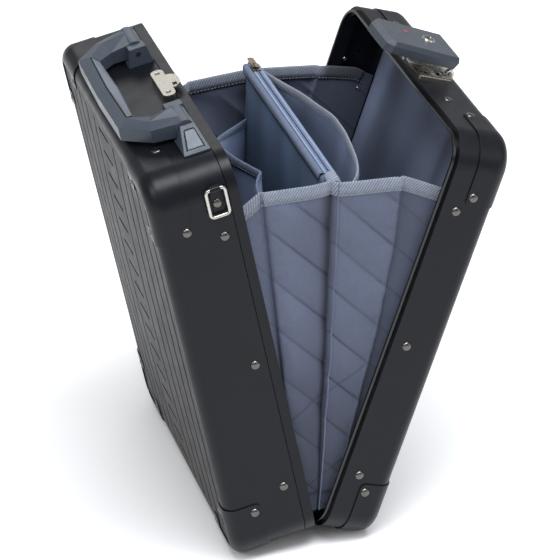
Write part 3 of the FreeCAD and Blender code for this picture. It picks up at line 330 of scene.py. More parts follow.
black_band = painted("black_band_paint", (0.0034, 0.0038, 0.0062), 0.36, 0.205)
black_cap = painted("black_cap_paint", (0.0034, 0.0038, 0.0062), 0.35, 0.205)
black_frame = painted("frame_paint", (0.0038, 0.0041, 0.0062), 0.32, 0.19)
gloss_black = painted("tongue_gloss", (0.003, 0.003, 0.0035), 0.16, 0.5, grain=0.0000016)
rubber = moulded("gasket_rubber", (0.006, 0.006, 0.006), 0.7, 0.3)
nickel = bare_metal("nickel", (0.44, 0.425, 0.39), 0.2)
satin_nickel = bare_metal("keeper_nickel", (0.36, 0.345, 0.30), 0.34)
pewter = bare_metal("rivet_nickel", (0.115, 0.11, 0.105), 0.13)
steel = bare_metal("steel", (0.2, 0.197, 0.195), 0.28)
bronze = bare_metal("zip_bronze", (0.16, 0.125, 0.085), 0.3)
handle_plastic = moulded("handle_plastic", (0.034, 0.043, 0.058), 0.34, 0.32)
inlay_plastic = moulded("inlay_plastic", (0.052, 0.069, 0.088), 0.34)
# The grip insert is its own soft plastic, and its colour is also made lighter as painted light, for the light
# falling on its slope.
strip_plastic = moulded("strip_plastic", (0.070, 0.087, 0.108), 0.4)
pod_plastic = moulded("pod_plastic", (0.029, 0.036, 0.049), 0.3)
seam_dark = moulded("seam_shadow", (0.004, 0.005, 0.007), 0.7, 0.2)
index_plastic = moulded("index_enamel", (0.42, 0.03, 0.025), 0.25)

# The ribbed sheet's crown, its distance in from the case's outline and its grooves' depth, in mm.
CROWN = 4.2
PANEL_INSET = 14.5
RIB_DEEP = 1.2


def rise(look, value, half):
    """Share of the crown's height that is left at a distance from the middle."""
    share = look.math("DIVIDE", value, half)
    return look.math("MAXIMUM", look.math("SUBTRACT", 1.0, look.math("MULTIPLY", share, share)), 0.0)


def ribbed_metal(body):
    """Brushed anodised sheet: lengthwise grain, uneven tone, painted shade in the bottom of its grooves and toward
    its lower end.
    """
    look = Look("ribbed_sheet_" + body, (0.037, 0.036, 0.037), 0.5, specular=0.12)
    look.soft_edges(0.0004)
    u, y, v, coords = look.local(body)
    rise_y = rise(look, y, WIDTH / 2 - PANEL_INSET)
    rise_v = rise(look, look.math("SUBTRACT", v, HEIGHT / 2), HEIGHT / 2 - PANEL_INSET)
    crown = look.math("MULTIPLY", look.math("MULTIPLY", rise_y, rise_v), CROWN)
    proud = look.math("SUBTRACT", look.math("SUBTRACT", u, crown), DEPTH[body])
    # Painted shade in the grooves, darker the deeper below the crown.
    look.shade(look.ramp(proud, -RIB_DEEP * 0.9, -RIB_DEEP * 0.2, 0.08, 1.0))
    # Painted shade toward the lower end.
    look.shade(look.ramp(v, 20.0, 420.0, 0.86, 1.0))
    grain = look.node("ShaderNodeMapping")
    grain.inputs["Scale"].default_value = (1.0, 1.0, 0.05)
    look.link(coords, grain.inputs["Vector"])
    streaks = look.noise(0.9, 4.0, coords=grain.outputs["Vector"])
    look.shade(look.ramp(streaks, 0.3, 0.7, 0.9, 1.1))
    look.mottle(9.0, 0.06)
    look.vary_roughness(50.0, 0.06)
    return look.done()


gusset_cloth = woven("gusset_nylon", (0.094, 0.109, 0.163), amount=0.24)
divider_cloth = woven("divider_nylon", (0.072, 0.105, 0.165))
lining_cloth = woven("lining_nylon", (0.062, 0.078, 0.125))
curtain_cloth = woven("curtain_nylon", (0.112, 0.135, 0.20))
pocket_cloth = woven("pocket_nylon", (0.100, 0.125, 0.195))
tape_cloth = webbing("zip_tape_cloth", (0.200, 0.255, 0.395), 0.0019, 0.0002, 0.62)
hem_cloth = webbing("pocket_hem_twill", (0.13, 0.165, 0.235), 0.0024)
strip_cloth = webbing("strip_cloth", (0.112, 0.135, 0.195), 0.0015, 0.0002, 0.7)
binding_cloth = webbing("binding_twill", (0.22, 0.245, 0.305), 0.0026)
piping_cloth = webbing("piping_twill", (0.13, 0.15, 0.215), 0.0024, 0.00015)
thread = moulded("thread", (0.19, 0.21, 0.27), 0.7, 0.3)
dark_thread = moulded("dark_thread", (0.012, 0.016, 0.03), 0.7, 0.3)
dark_coil = moulded("zip_coil", (0.03, 0.04, 0.075), 0.45)

SLOT_LOOKS = {
    "black_band": black_band, "black_cap": black_cap, "frame_black": black_frame,
    "tongue_black": gloss_black, "gasket_rubber": rubber, "ribbed_panel": None,
    "nickel": nickel, "steel": steel, "handle_plastic": handle_plastic,
    "inlay_plastic": inlay_plastic, "lining_fabric": lining_cloth, "gusset_fabric": gusset_cloth,
    "zip_tape": tape_cloth, "zip_metal": bronze, "index_red": index_plastic,
}
node_slots = {s["node"]: s["material_slot"] for s in frame["record"]["subparts"]}
for name, obj in NODES.items():
    obj.data.materials.clear()
    obj.data.materials.append(SLOT_LOOKS[node_slots[name]])
own_looks = {
    "base_panel": ribbed_metal("base"), "lid_panel": ribbed_metal("lid"),
    "handle_grip_insert": strip_plastic, "latch_cover": pod_plastic,
    "keeper_plate": satin_nickel, "keeper_screws": pewter,
}
for name, look in own_looks.items():
    NODES[name].data.materials[0] = look


# ------------------------------------------------------------------ mesh builders
def add_object(name, mesh, material):
    mesh.materials.append(material)
    mesh.polygons.foreach_set("use_smooth", [True] * len(mesh.polygons))
    obj = bpy.data.objects.new(name, mesh)
    bpy.context.scene.collection.objects.link(obj)
    return obj


def grid_mesh(name, rows, tone=None, closed=False, caps=False):
    """Mesh through rows of points. closed joins each row's ends; caps closes the first and last row."""
    count = len(rows)
    width = len(rows[0])
    verts = [p for row in rows for p in row]
    faces = []
    corners = []
    across = width if closed else width - 1
    u_len = np.zeros(count)
    v_len = np.zeros(width + 1)
    middle = width // 2
    for i in range(1, count):
        u_len[i] = u_len[i - 1] + (rows[i][middle] - rows[i - 1][middle]).length
    half = count // 2
    for j in range(1, width + 1):
        v_len[j] = v_len[j - 1] + (rows[half][j % width] - rows[half][j - 1]).length
    for i in range(count - 1):
        for j in range(across):
            k = (j + 1) % width
            faces.append((i * width + j, i * width + k, (i + 1) * width + k, (i + 1) * width + j))
            corners += [(v_len[j], u_len[i]), (v_len[j + 1], u_len[i]),
                        (v_len[j + 1], u_len[i + 1]), (v_len[j], u_len[i + 1])]
    if caps:
        first = tuple(range(width))[::-1]
        last = tuple((count - 1) * width + j for j in range(width))
        faces += [first, last]
        corners += [(v_len[j], 0.0) for j in first]
        corners += [(v_len[j - (count - 1) * width], u_len[-1]) for j in last]
    mesh = bpy.data.meshes.new(name)
    mesh.from_pydata([tuple(v) for v in verts], [], faces)
    layer = mesh.uv_layers.new(name="flat")
    layer.data.foreach_set("uv", [c for pair in corners for c in pair])
    # The tone attribute holds painted light and shade, 1.0 where none is painted.
    attribute = mesh.attributes.new("tone", "FLOAT", "POINT")
    values = tone if tone is not None else [1.0] * len(verts)
    attribute.data.foreach_set("value", values)
    return mesh


def thicken(obj, thickness):
    """Gives a sheet its cloth thickness, half to each side, and applies it."""
    modifier = obj.modifiers.new("thickness", "SOLIDIFY")
    modifier.thickness = thickness
    modifier.offset = 0.0
    graph = bpy.context.evaluated_depsgraph_get()
    made = bpy.data.meshes.new_from_object(obj.evaluated_get(graph))
    obj.modifiers.clear()
    old = obj.data
    obj.data = made
    bpy.data.meshes.remove(old)


def frames_along(path, up):
    """Tangent, side and up directions at each point of a path."""
    result = []
    for i in range(len(path)):
        a = path[max(i - 1, 0)]
        b = path[min(i + 1, len(path) - 1)]
        tangent = (b - a).normalized()
        side = tangent.cross(up).normalized()
        result.append((tangent, side, side.cross(tangent).normalized()))
    return result


def sweep(name, path, profile, up, material, tone=None):
    """Closed profile of (side, up) offsets in metres carried along a path."""
    rows = []
    for p, (tangent, side, upward) in zip(path, frames_along(path, up)):
        rows.append([p + side * s + upward * h for s, h in profile])
    tones = None
    if tone is not None:
        tones = [t for t in tone for _ in profile]
    return add_object(name, grid_mesh(name, rows, tones, closed=True, caps=True), material)


def binding_profile(height, thick):
    """Cross-section of tape folded over a cloth's edge, edge at the origin, tape hanging down."""
    h = height
    t = thick / 2
    return [(-t, -h), (-t * 1.15, -h * 0.5), (-t, -t), (-t * 0.6, t * 0.4), (0, t * 0.7),
            (t * 0.6, t * 0.4), (t, -t), (t * 1.15, -h * 0.5), (t, -h), (t * 0.5, -h), (-t * 0.5, -h)]


def ring(radius, count):
    """Round closed profile for sweep."""
    angles = [2 * math.pi * i / count for i in range(count)]
    return [(math.cos(a) * radius, math.sin(a) * radius) for a in angles]


def resample(path, step):
    """The path again, with points an even step apart."""
    pts = np.array([tuple(p) for p in path])
    dist = np.concatenate([[0], np.cumsum(np.linalg.norm(np.diff(pts, axis=0), axis=1))])
    at = np.linspace(0, dist[-1], max(2, int(round(dist[-1] / step)) + 1))
    return [Vector([float(np.interp(a, dist, pts[:, k])) for k in range(3)]) for a in at]


def curve_through(points, step):
    """Smooth path through points (Catmull-Rom), resampled evenly."""
    path = []
    last = len(points) - 1
    for i in range(last):
        p0, p1, p2, p3 = (points[max(i - 1, 0)], points[i], points[i + 1], points[min(i + 2, last)])
        for k in range(12):
            t = k / 12
            path.append(0.5 * ((2 * p1) + (p2 - p0) * t + (2 * p0 - 5 * p1 + 4 * p2 - p3) * t * t
                               + (3 * p1 - p0 - 3 * p2 + p3) * t * t * t))
    path.append(points[-1].copy())
    return resample(path, step)


def stitches(name, path, up, material, pitch=0.0038, length=0.0026, radius=0.00035):
    """A row of thread stitches lying on a surface."""
    shapes = []
    points = resample(path, pitch)
    for centre, (tangent, side, upward) in zip(points, frames_along(points, up)):
        rows = []
        for t, share in ((-0.5, 0.25), (-0.3, 1.0), (0.3, 1.0), (0.5, 0.25)):
            rows.append([centre + tangent * (t * length) + upward * x + side * y
                         for x, y in ring(radius * share, 5)])
        shapes.append(rows)
    return join_rows(name, shapes, material)


def lathe(profile, centre, axis, segments=28):
    """Rings of a turned shape: profile is (radius, height) in metres along axis."""
    axis = axis.normalized()
    side = axis.orthogonal().normalized()
    other = axis.cross(side)
    around = [side * x + other * y for x, y in ring(1.0, segments)]
    return [[centre + axis * h + out * r for out in around] for r, h in profile]


def join_rows(name, shapes, material):
    """One mesh of several closed and capped row grids."""
    verts = []
    faces = []
    for rows in shapes:
        width = len(rows[0])
        base = len(verts)
        verts += [p for row in rows for p in row]
        for i in range(len(rows) - 1):
            for j in range(width):
                k = (j + 1) % width
                faces.append((base + i * width + j, base + i * width + k,
                              base + (i + 1) * width + k, base + (i + 1) * width + j))
        faces.append(tuple(base + j for j in range(width))[::-1])
        faces.append(tuple(base + (len(rows) - 1) * width + j for j in range(width)))
    mesh = bpy.data.meshes.new(name)
    mesh.from_pydata([tuple(v) for v in verts], [], faces)
    return add_object(name, mesh, material)


def wobble(x, y, z, amount):
    """Smooth repeatable unevenness, up to about that amount to each side."""
    return noise.noise(Vector((x, y, z))) * amount


# ------------------------------------------------------------------ gussets
def mid(x, y, v):
    """A point of the divider's frame, in mm, x toward the lid."""
    return place("divider", x, y, v)


def edge_x(v):
    """Distance from the middle to a half's rim at a height of the divider's frame."""
    return math.tan(math.radians(HALF_OPEN)) * (v + HINGE_DROP)


# Slanting creases: their pitch along v and their slopes, which rise toward the base and toward the lid.
PLEAT_PITCH = 49.0
FALLING_SLOPE = 0.93
RISING_SLOPE = -0.75
# The cloth's grid, its lowest height, its widest y and the height of its low seam.
PANEL_COLUMNS = 26
GUSSET_ROWS = 300
GUSSET_LOW = 26.0
GUSSET_Y = 160.5
LOW_SEAM = 47.0
CLOTH_THICK = 0.0009
# Painted light and shade of the cloth by column, for how each panel and fold faces the light: 0 in the base, 1
# base rim, 2 fold, 3 seam, 4 fold, 5 lid rim, 6 in the lid.
FOLD_PAINTED_LIGHT = [(1.0, 1.05), (1.9, 1.1), (2.0, 0.95), (2.3, 1.05), (2.8, 0.85), (2.92, 0.42), (3.0, 0.3),
             (3.06, 1.0), (3.8, 1.0), (4.0, 0.9), (4.04, 0.62), (5.0, 0.7)]


def crease(x, v, slope, pitch, shift, width):
    """How near a point is to one of a family of slanting creases, 0 to 1, and its place between two."""
    phase = (v + slope * x + shift) / pitch
    near = abs(phase - round(phase)) * pitch
    return math.exp(-(near / width) ** 2), phase - math.floor(phase)


def gusset(word, sign, folds, depth, tops, low_painted_shade):
    """Bellows cloth between the halves.

    folds gives x at a height for each whole column, depth the distance inward by column, and
    tops the height of the hem at each whole column. Columns run from the base to the lid.
    """
    columns = [k + i / PANEL_COLUMNS for k in range(len(folds) - 1) for i in range(PANEL_COLUMNS)]
    columns.append(float(len(folds) - 1))
    rows = []
    tone = []
    for i in range(GUSSET_ROWS + 1):
        t = i / GUSSET_ROWS
        row = []
        for c in columns:
            k = min(int(c), len(folds) - 2)
            f = c - k
            v = lerp(GUSSET_LOW, lerp(tops[k], tops[k + 1], f), t)
            x = lerp(folds[k](v), folds[k + 1](v), f)
            fade = smooth((v - 30.0) / 150.0)
            inner = 2.0 < c < 4.0
            inward = along(depth, c) * lerp(0.4, 1.0, fade)
            near_hem = smooth((tops[k] - 6.0 - v) / 25.0)
            shift = 12.0 + sign * 9 + (9.0 if c > 3 else 0.0)
            falling, between = crease(x, v, FALLING_SLOPE, PLEAT_PITCH, shift, 1.1)
            rising, _ = crease(x, v, RISING_SLOPE, 2 * PLEAT_PITCH, 30.0, 1.3)
            rising *= smooth((250.0 - v) / 90.0)
            strength = 0.75 + 0.25 * math.sin(x * 0.05 + v * 0.021 + c)
            mark = max(falling * strength, 0.6 * rising) * near_hem * (1.0 if inner else 0.6)
            fold_near = max(math.exp(-abs(c - 2.0) / 0.16), math.exp(-abs(c - 4.0) / 0.16))
            tick = wobble(x * 0.012, v * 0.085, sign * 7.0, 1.6) * fold_near * near_hem
            puff = -2.3 * math.sin(math.pi * between) * near_hem * fade if inner else 0.0
            sway = wobble(x * 0.02, sign * 3.0, v * 0.012, 2.2) * near_hem if inner else 0.0
            inward = max(inward + puff + sway + tick + 0.9 * mark, 0.1)
            row.append(mid(x, sign * (GUSSET_Y - inward), v))
            # Painted shade: darker toward the cloth's foot, and darker along the creases where mark is high.
            shade = lerp(low_painted_shade, 1.0, smooth((v - 30.0) / 260.0))
            seam_line = math.exp(-((v - LOW_SEAM) / 2.5) ** 2)
            tone.append(shade * (1.0 - 0.62 * mark) * (1.0 - 0.6 * seam_line) * along(FOLD_PAINTED_LIGHT, c))
        rows.append(row)
    name = "gusset_%s_cloth" % word
    cloth = add_object(name, grid_mesh(name, rows, tone), gusset_cloth)
    thicken(cloth, CLOTH_THICK)
    hem = [p.copy() for p in rows[-1]]
    return cloth, hem, rows


def line_of(points):
    """x of a fold by height, through (height, x) pairs."""
    table = sorted(points)
    return lambda v: along(table, v)


def off_base(line):
    """The fold's line, kept clear of the base's rim."""
    return lambda v: max(line(v), 0.5 - edge_x(v))


def off_lid(line):
    """The fold's line, kept clear of the lid's rim."""
    return lambda v: min(line(v), edge_x(v) - 0.5)


def beside_base(gap):
    """Line that far past the base's rim, into the base."""
    return lambda v: -edge_x(v) - gap


def beside_lid(gap):
    """Line that far past the lid's rim, into the lid."""
    return lambda v: edge_x(v) + gap


near_left = off_base(line_of([(150.0, -41.5), (244.0, -56.0), (399.0, -81.0)]))
near_right = off_lid(line_of([(110.0, 27.0), (174.0, 37.0), (231.0, 47.0), (332.0, 57.0), (402.0, 59.0)]))
near_seam = line_of([(26.0, 0.0), (200.0, -3.0), (398.0, -9.0)])
far_left = off_base(line_of([(150.0, -41.5), (360.0, -62.0)]))
far_right = off_lid(line_of([(150.0, 41.5), (365.0, 82.0)]))
far_seam = line_of([(26.0, 0.0), (380.0, 4.0)])

near_depth = [(0.0, 2.2), (1.0, 2.6), (1.94, 5.2), (2.0, 1.2), (2.3, 2.6), (2.7, 4.6), (2.9, 8.0),
              (3.0, 12.0), (3.05, 5.0), (3.3, 3.4), (3.9, 3.0), (4.0, 1.2), (4.06, 6.0), (5.0, 3.0),
              (6.0, 2.2)]
far_depth = [(0.0, 2.2), (1.0, 2.6), (1.94, 4.6), (2.0, 1.6), (2.5, 4.0), (3.0, 7.0), (3.5, 4.0),
             (3.96, 1.6), (4.0, 3.8), (5.0, 2.8), (6.0, 2.4), (7.0, 2.4)]
base_side = [beside_base(13.0), beside_base(-0.2)]
near_lid_side = [beside_lid(-0.2), beside_lid(13.0)]
far_lid_side = [beside_lid(-0.2), beside_lid(26.0), beside_lid(50.5)]
near_cloth, near_hem, near_rows = gusset(
    "near", -1, [*base_side, near_left, near_seam, near_right, *near_lid_side], near_depth,
    [380.0, 384.0, 399.5, 400.5, 402.0, 385.0, 381.0], 0.42)
far_cloth, far_hem, far_rows = gusset(
    "far", 1, [*base_side, far_left, far_seam, far_right, *far_lid_side], far_depth,
    [346.0, 350.0, 364.0, 376.0, 371.0, 369.0, 365.0, 354.0], 0.3)

# The hem's height at the mouth, in mm, and its painted shade past the last fold; then sizes in metres: the
# tape's height, the stitches' drop below the edge and distance off the cloth, the step along a tape.
HEM_PAINTED_SHADE = {"near": 0.9, "far": 0.3}
HEM_HEIGHT = 0.0138
STITCH_DROP = 0.0125
STITCH_OUT = 0.0017
TAPE_STEP = 0.003
mid_up = direction("divider", 0, 0, 1)
x_way = direction("divider", 1, 0, 0)
soft_near = [near_cloth]
soft_far = [far_cloth]
for word, sign, hem, pieces in (("near", -1, near_hem, soft_near), ("far", 1, far_hem, soft_far)):
    shown = hem[PANEL_COLUMNS // 2:-PANEL_COLUMNS // 2]
    line = resample(shown, TAPE_STEP)
    fold = hem[4 * PANEL_COLUMNS]
    # Painted shade: the binding darker past the last fold.
    beyond = [(p - fold).dot(x_way) / 0.012 for p in line]
    painted_shades = [lerp(1.0, HEM_PAINTED_SHADE[word], smooth(b)) for b in beyond]
    profile = binding_profile(HEM_HEIGHT, 0.0028)
    pieces.append(sweep("gusset_%s_binding" % word, line, profile, mid_up, binding_cloth, painted_shades))
    low_line = [p - mid_up * STITCH_DROP for p in shown]
    outward = Vector((0, sign, 0))
    inner = [p - outward * STITCH_OUT for p in low_line]
    outer = [p + outward * STITCH_OUT for p in low_line]
    pieces.append(stitches("gusset_%s_stitches_in" % word, inner, mid_up, thread))
    pieces.append(stitches("gusset_%s_stitches_out" % word, outer, mid_up, thread))

for word, sign, rows, pieces in (("near", -1, near_rows, soft_near), ("far", 1, far_rows, soft_far)):
    outward = Vector((0, sign, 0))
    seam_column = 3 * PANEL_COLUMNS + 2
    seam = [row[seam_column] + outward * 0.0011 for row in rows]
    pieces.append(sweep("gusset_%s_piping" % word, seam, ring(0.0008, 8), outward, piping_cloth))

for pieces, node in ((soft_near, "gusset_near"), (soft_far, "gusset_far")):
    for piece in pieces:
        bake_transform(piece)
    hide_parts(node)

# ------------------------------------------------------------------ divider
# Half its length, its lowest and highest heights, and half its thickness along the top, in mm.
DIVIDER_HALF = 146.5
DIVIDER_LOW = 14.5
DIVIDER_TOP = 389.0
BAND_HALF = 8.6
TOP_STEP = 16.0


def divider_half(y, v):
    """Half thickness of the padded divider."""
    ends = 1.0 - (abs(y) / DIVIDER_HALF) ** 10
    low = smooth((v - DIVIDER_LOW) / 25.0)
    body = 1.6 + 3.2 * low + (BAND_HALF - 5.4) * smooth((v - 300.0) / 75.0)
    return 1.2 + (body - 1.2) * max(ends, 0.0)


def divider_top(y):
    """Height of the divider's top, which drops under the tab at its near end."""
    return DIVIDER_TOP - TOP_STEP * smooth((-118.0 - y) / 8.0)


def depth_painted_shade(v, top, fall, low):
    """Painted shade: cloth deep inside the case is darker, for the shade there."""
    return lerp(low, 1.0, smooth((v - top + fall) / fall))


def divider_body():
    """The padded divider: up one face, over its top and down the other."""
    rows = []
    tone = []
    steps = 96
    for i in range(steps + 1):
        y = -DIVIDER_HALF + 2 * DIVIDER_HALF * i / steps
        top = divider_top(y)
        heights = [lerp(DIVIDER_LOW, top - 3.0, k / 60) for k in range(61)]
        row = []
        half = divider_half(y, top)
        for v in heights:
            dent = wobble(y * 0.02, v * 0.02, 4.0, 1.1)
            row.append(mid(-divider_half(y, v) - dent, y, v))
            # Painted sheen in long streaks and painted light near the top of the base-side face, fading into
            # painted shade lower down; the lid-side face gets painted shade lower down.
            painted_sheen = 1.0 + wobble(y * 0.03, v * 0.006, 11.0, 0.45)
            tone.append(1.25 * painted_sheen * depth_painted_shade(v, DIVIDER_TOP, 130.0, 0.16))
        for share, drop in ((0.86, 1.0), (0.5, 0.0), (0.0, -0.1), (-0.5, 0.0), (-0.86, 1.0)):
            row.append(mid(-half * share, y, top - drop))
            tone.append(1.0)
        for v in reversed(heights):
            dent = wobble(y * 0.02, v * 0.02, 9.0, 1.1)
            row.append(mid(divider_half(y, v) + dent, y, v))
            tone.append(depth_painted_shade(v, DIVIDER_TOP, 190.0, 0.3))
        rows.append(row)
    name = "divider_padding"
    return add_object(name, grid_mesh(name, rows, tone, closed=True, caps=True), divider_cloth)


divider = divider_body()
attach(divider, "divider")
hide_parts("divider_panel")

# Ends of the zip and of its tab along y, and the coil's place and pitch, in mm; the length in metres.
ZIP_NEAR = -114.0
ZIP_FAR = 137.0
TAB_NEAR = -131.0
COIL_X = 0.9
COIL_H = 1.75
TOOTH_PITCH = 1.7
SEAM_LINE = ring(0.0005, 6)


def strip_along_y(name, x_line, material, thickness=0.0008):
    """Strip along the zip: x_line lists (x, height above the divider's top)."""
    steps = int((ZIP_FAR - ZIP_NEAR) / 3.0)
    rows = []
    for i in range(steps + 1):
        y = lerp(ZIP_NEAR, ZIP_FAR, i / steps)
        rows.append([mid(x + wobble(y * 0.03, x, 2.0, 0.25), y, DIVIDER_TOP + h) for x, h in x_line])
    obj = add_object(name, grid_mesh(name, rows), material)
    thicken(obj, thickness)
    return obj


def seam_path(x, h):
    """Line along the zip, 2 mm short of its ends."""
    steps = 30
    return [mid(x, lerp(ZIP_NEAR + 2, ZIP_FAR - 2, i / steps), DIVIDER_TOP + h) for i in range(steps + 1)]


zip_tape = strip_along_y("zip_tape_lid", [(-4.0, 0.9), (-3.2, 1.5), (-1.6, 1.8), (-0.2, 1.8)], tape_cloth)
side_line = [(2.0, 1.8), (4.4, 1.7), (6.4, 1.2), (7.9, 0.0), (8.5, -2.0)]
zip_side = strip_along_y("zip_tape_base", side_line, tape_cloth)
welt_line = [(-4.6, 0.7), (-5.4, 1.7), (-7.2, 1.75), (-9.0, 0.9), (-9.6, -1.2), (-9.4, -4.2)]
welt = strip_along_y("divider_welt", welt_line, strip_cloth, 0.0010)
zip_pieces = [zip_tape, zip_side, welt]
stitch_rows = (("a", -9.4, -7.6, dark_thread), ("b", -9.9, -3.4, thread), ("c", -1.3, 2.25, dark_thread),
               ("d", 3.2, 2.2, dark_thread), ("e", 6.6, 1.6, thread))
for word, x, h, look in stitch_rows:
    name = "zip_stitches_" + word
    zip_pieces.append(stitches(name, seam_path(x, h), x_way, look, 0.0032, 0.0027, 0.00034))
for name, x, h in (("zip_seam_line", -4.3, 1.25), ("welt_seam_line", -9.6, -4.9)):
    zip_pieces.append(sweep(name, seam_path(x, h), SEAM_LINE, mid_up, dark_thread))
coil = []
tooth = [(0.00015, -0.0013), (0.00055, -0.0011), (0.00055, 0.0011), (0.00015, 0.0013)]
for i in range(int((ZIP_FAR - ZIP_NEAR - 6) / TOOTH_PITCH)):
    centre = mid(COIL_X, ZIP_NEAR + 3 + i * TOOTH_PITCH, DIVIDER_TOP + COIL_H)
    lean = 0.35 if i % 2 else -0.35
    coil.append(lathe(tooth, centre, direction("divider", 1, lean, 0), 6))
zip_coil = join_rows("zip_coil_teeth", coil, dark_coil)
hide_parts("zip_tape")
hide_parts("zip_teeth")
zip_pieces.append(zip_coil)


def end_tab():
    """Folded twill tab that closes the near end of the zip, hollow underneath."""
    rows = []
    steps = 14
    for i in range(steps + 1):
        t = i / steps
        y = lerp(ZIP_NEAR - 1.5, TAB_NEAR, t)
        rise = 3.2 - 2.6 * smooth((t - 0.4) / 0.6)
        half = lerp(6.2, 7.2, t)
        rows.append([mid(1.6 + half * math.sin(a), y, DIVIDER_TOP + rise - 6.0 * (1 - math.cos(a)))
                     for a in np.linspace(-1.35, 1.35, 15)])
    obj = add_object("zip_end_near", grid_mesh("zip_end_near", rows), binding_cloth)
    thicken(obj, 0.0014)
    return obj


zip_pieces.append(end_tab())
for piece in zip_pieces:
    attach(piece, "divider")


# ------------------------------------------------------------------ pockets on the divider
# Foot of the pockets and their distance from the divider's middle there, in mm; the painted light on each pocket.
POCKET_BOTTOM = 16.0
FACE_X = 3.2
POCKET_PAINTED_LIGHT = {"lid": 1.1, "base": 2.8}
POCKET_HEM = 0.0078
# Each pocket's mouth: y, distance off the divider and height.
LID_MOUTH = ((-141.0, 1.0, 383.0), (-132.0, 12.0, 384.0), (-117.0, 24.0, 386.0), (-97.0, 32.5, 386.0),
             (-61.0, 39.5, 386.0), (-28.0, 43.5, 386.0), (6.0, 44.0, 386.0), (36.0, 37.5, 386.0),
             (69.0, 27.5, 386.0), (100.0, 15.5, 386.0), (122.0, 7.0, 386.0), (139.0, 1.0, 386.0))
BASE_MOUTH = ((-138.0, 1.0, 351.0), (-120.0, 24.0, 351.0), (-100.0, 43.0, 351.0), (-76.0, 50.5, 351.0),
              (-51.0, 47.0, 351.0), (-32.0, 38.0, 351.0), (-26.0, 34.5, 350.5), (-20.0, 38.0, 351.0),
              (10.0, 52.0, 351.0), (36.0, 58.0, 350.0), (50.0, 59.0, 349.0), (62.0, 52.0, 347.0),
              (96.0, 26.0, 339.0), (128.0, 1.0, 331.0))


def pocket(word, side, mouth):
    """Open pocket sheet, flat at its foot and bulged at its mouth."""
    line = curve_through([Vector(p) for p in mouth], 3.0)
    rows = []
    tone = []
    steps = 70
    for i in range(steps + 1):
        t = i / steps
        row = []
        open_share = t ** 1.15
        for y, stand, top in line:
            v = lerp(POCKET_BOTTOM, top, t)
            ripple = wobble(y * 0.035, v * 0.008, side * 5.0, 2.6 * t * (1.0 - 0.7 * t))
            x = max(FACE_X + stand * open_share + ripple + 1.2, divider_half(y, v) + 0.9)
            row.append(mid(side * x, y, v))
            # Painted shade deeper in the pocket, painted sheen in patches, and the pocket's own painted light.
            painted_sheen = 1.0 + wobble(y * 0.03, v * 0.018, side * 9.0, 0.5)
            tone.append(depth_painted_shade(v, top, 130.0, 0.35) * POCKET_PAINTED_LIGHT[word] * painted_sheen)
        rows.append(row)
    name = "pocket_%s_cloth" % word
    cloth = add_object(name, grid_mesh(name, rows, tone), pocket_cloth)
    thicken(cloth, 0.0011)
    return cloth, rows[-1]


lid_pocket, lid_edge = pocket("lid", 1.0, LID_MOUTH)
base_pocket, base_edge = pocket("base", -1.0, BASE_MOUTH)
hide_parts("divider_pocket_lid")
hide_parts("divider_pocket_base")
pocket_pieces = [lid_pocket, base_pocket]
lid_trim = []
base_trim = []
hem_profile = binding_profile(POCKET_HEM, 0.0024)
for word, edge, trim, tape in (("lid", lid_edge, lid_trim, binding_cloth),
                               ("base", base_edge, base_trim, hem_cloth)):
    trim.append(sweep("pocket_%s_binding" % word, resample(edge, TAPE_STEP), hem_profile, mid_up, tape))
    low = [p - mid_up * (POCKET_HEM - 0.0012) for p in edge]
    for face, sign in (("in", -1.0), ("out", 1.0)):
        path = [p + side * (sign * 0.0016) for p, (_, side, _) in zip(low, frames_along(low, mid_up))]
        trim.append(stitches("pocket_%s_stitches_%s" % (word, face), path, mid_up, thread))
pocket_pieces += lid_trim + base_trim
for piece in pocket_pieces:
    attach(piece, "divider")
for piece in [lid_pocket] + lid_trim:
    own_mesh(piece)


# ------------------------------------------------------------------ linings
# Distance in from the case's outline, corner radius, gap behind the curtain and heights, in mm.
LINING_INSET = 10.1
CORNER_IN = 21.0
BACK_GAP = 5.4
CURTAIN_TOP = 446.5
WALL_HEM = {"base": 386.0, "lid": 348.0}


def lining_back(body, back_u):
    """Curtain of loose cloth over a half's back, full height, hanging in soft folds."""
    half = WIDTH / 2 - LINING_INSET - 1.6
    rows = []
    tone = []
    steps = 90
    for i in range(steps + 1):
        v = lerp(LINING_INSET + 2.0, CURTAIN_TOP, i / steps)
        row = []
        squeeze = max(CORNER_IN + LINING_INSET - v, v - (HEIGHT - LINING_INSET - CORNER_IN), 0.0)
        pull = CORNER_IN - math.sqrt(max(CORNER_IN ** 2 - squeeze ** 2, 0.0))
        for y in np.linspace(-half, half, 161):
            inside = smooth((half - abs(y)) / 12.0)
            wave = math.sin(y * 0.085 + 2.4 * math.sin(y * 0.033 + v * 0.0045))
            fold = 1.3 * wave + wobble(y * 0.03, v * 0.006, back_u, 2.2)
            out = back_u - 0.4 - (2.4 + fold) * inside
            row.append(place(body, min(out, back_u), math.copysign(min(abs(y), half - pull), y), v))
            # Painted shade toward the bottom and along the folds, with painted sheen in patches.
            painted_sheen = 0.95 + wobble(y * 0.022, v * 0.004, back_u + 2.0, 0.75)
            tone.append(lerp(0.45, 1.0, smooth((v - 190.0) / 170.0)) * (painted_sheen - 0.14 * wave))
        rows.append(row)
    name = "%s_lining_back" % body
    cloth = add_object(name, grid_mesh(name, rows, tone), curtain_cloth)
    thicken(cloth, CLOTH_THICK)
    return cloth


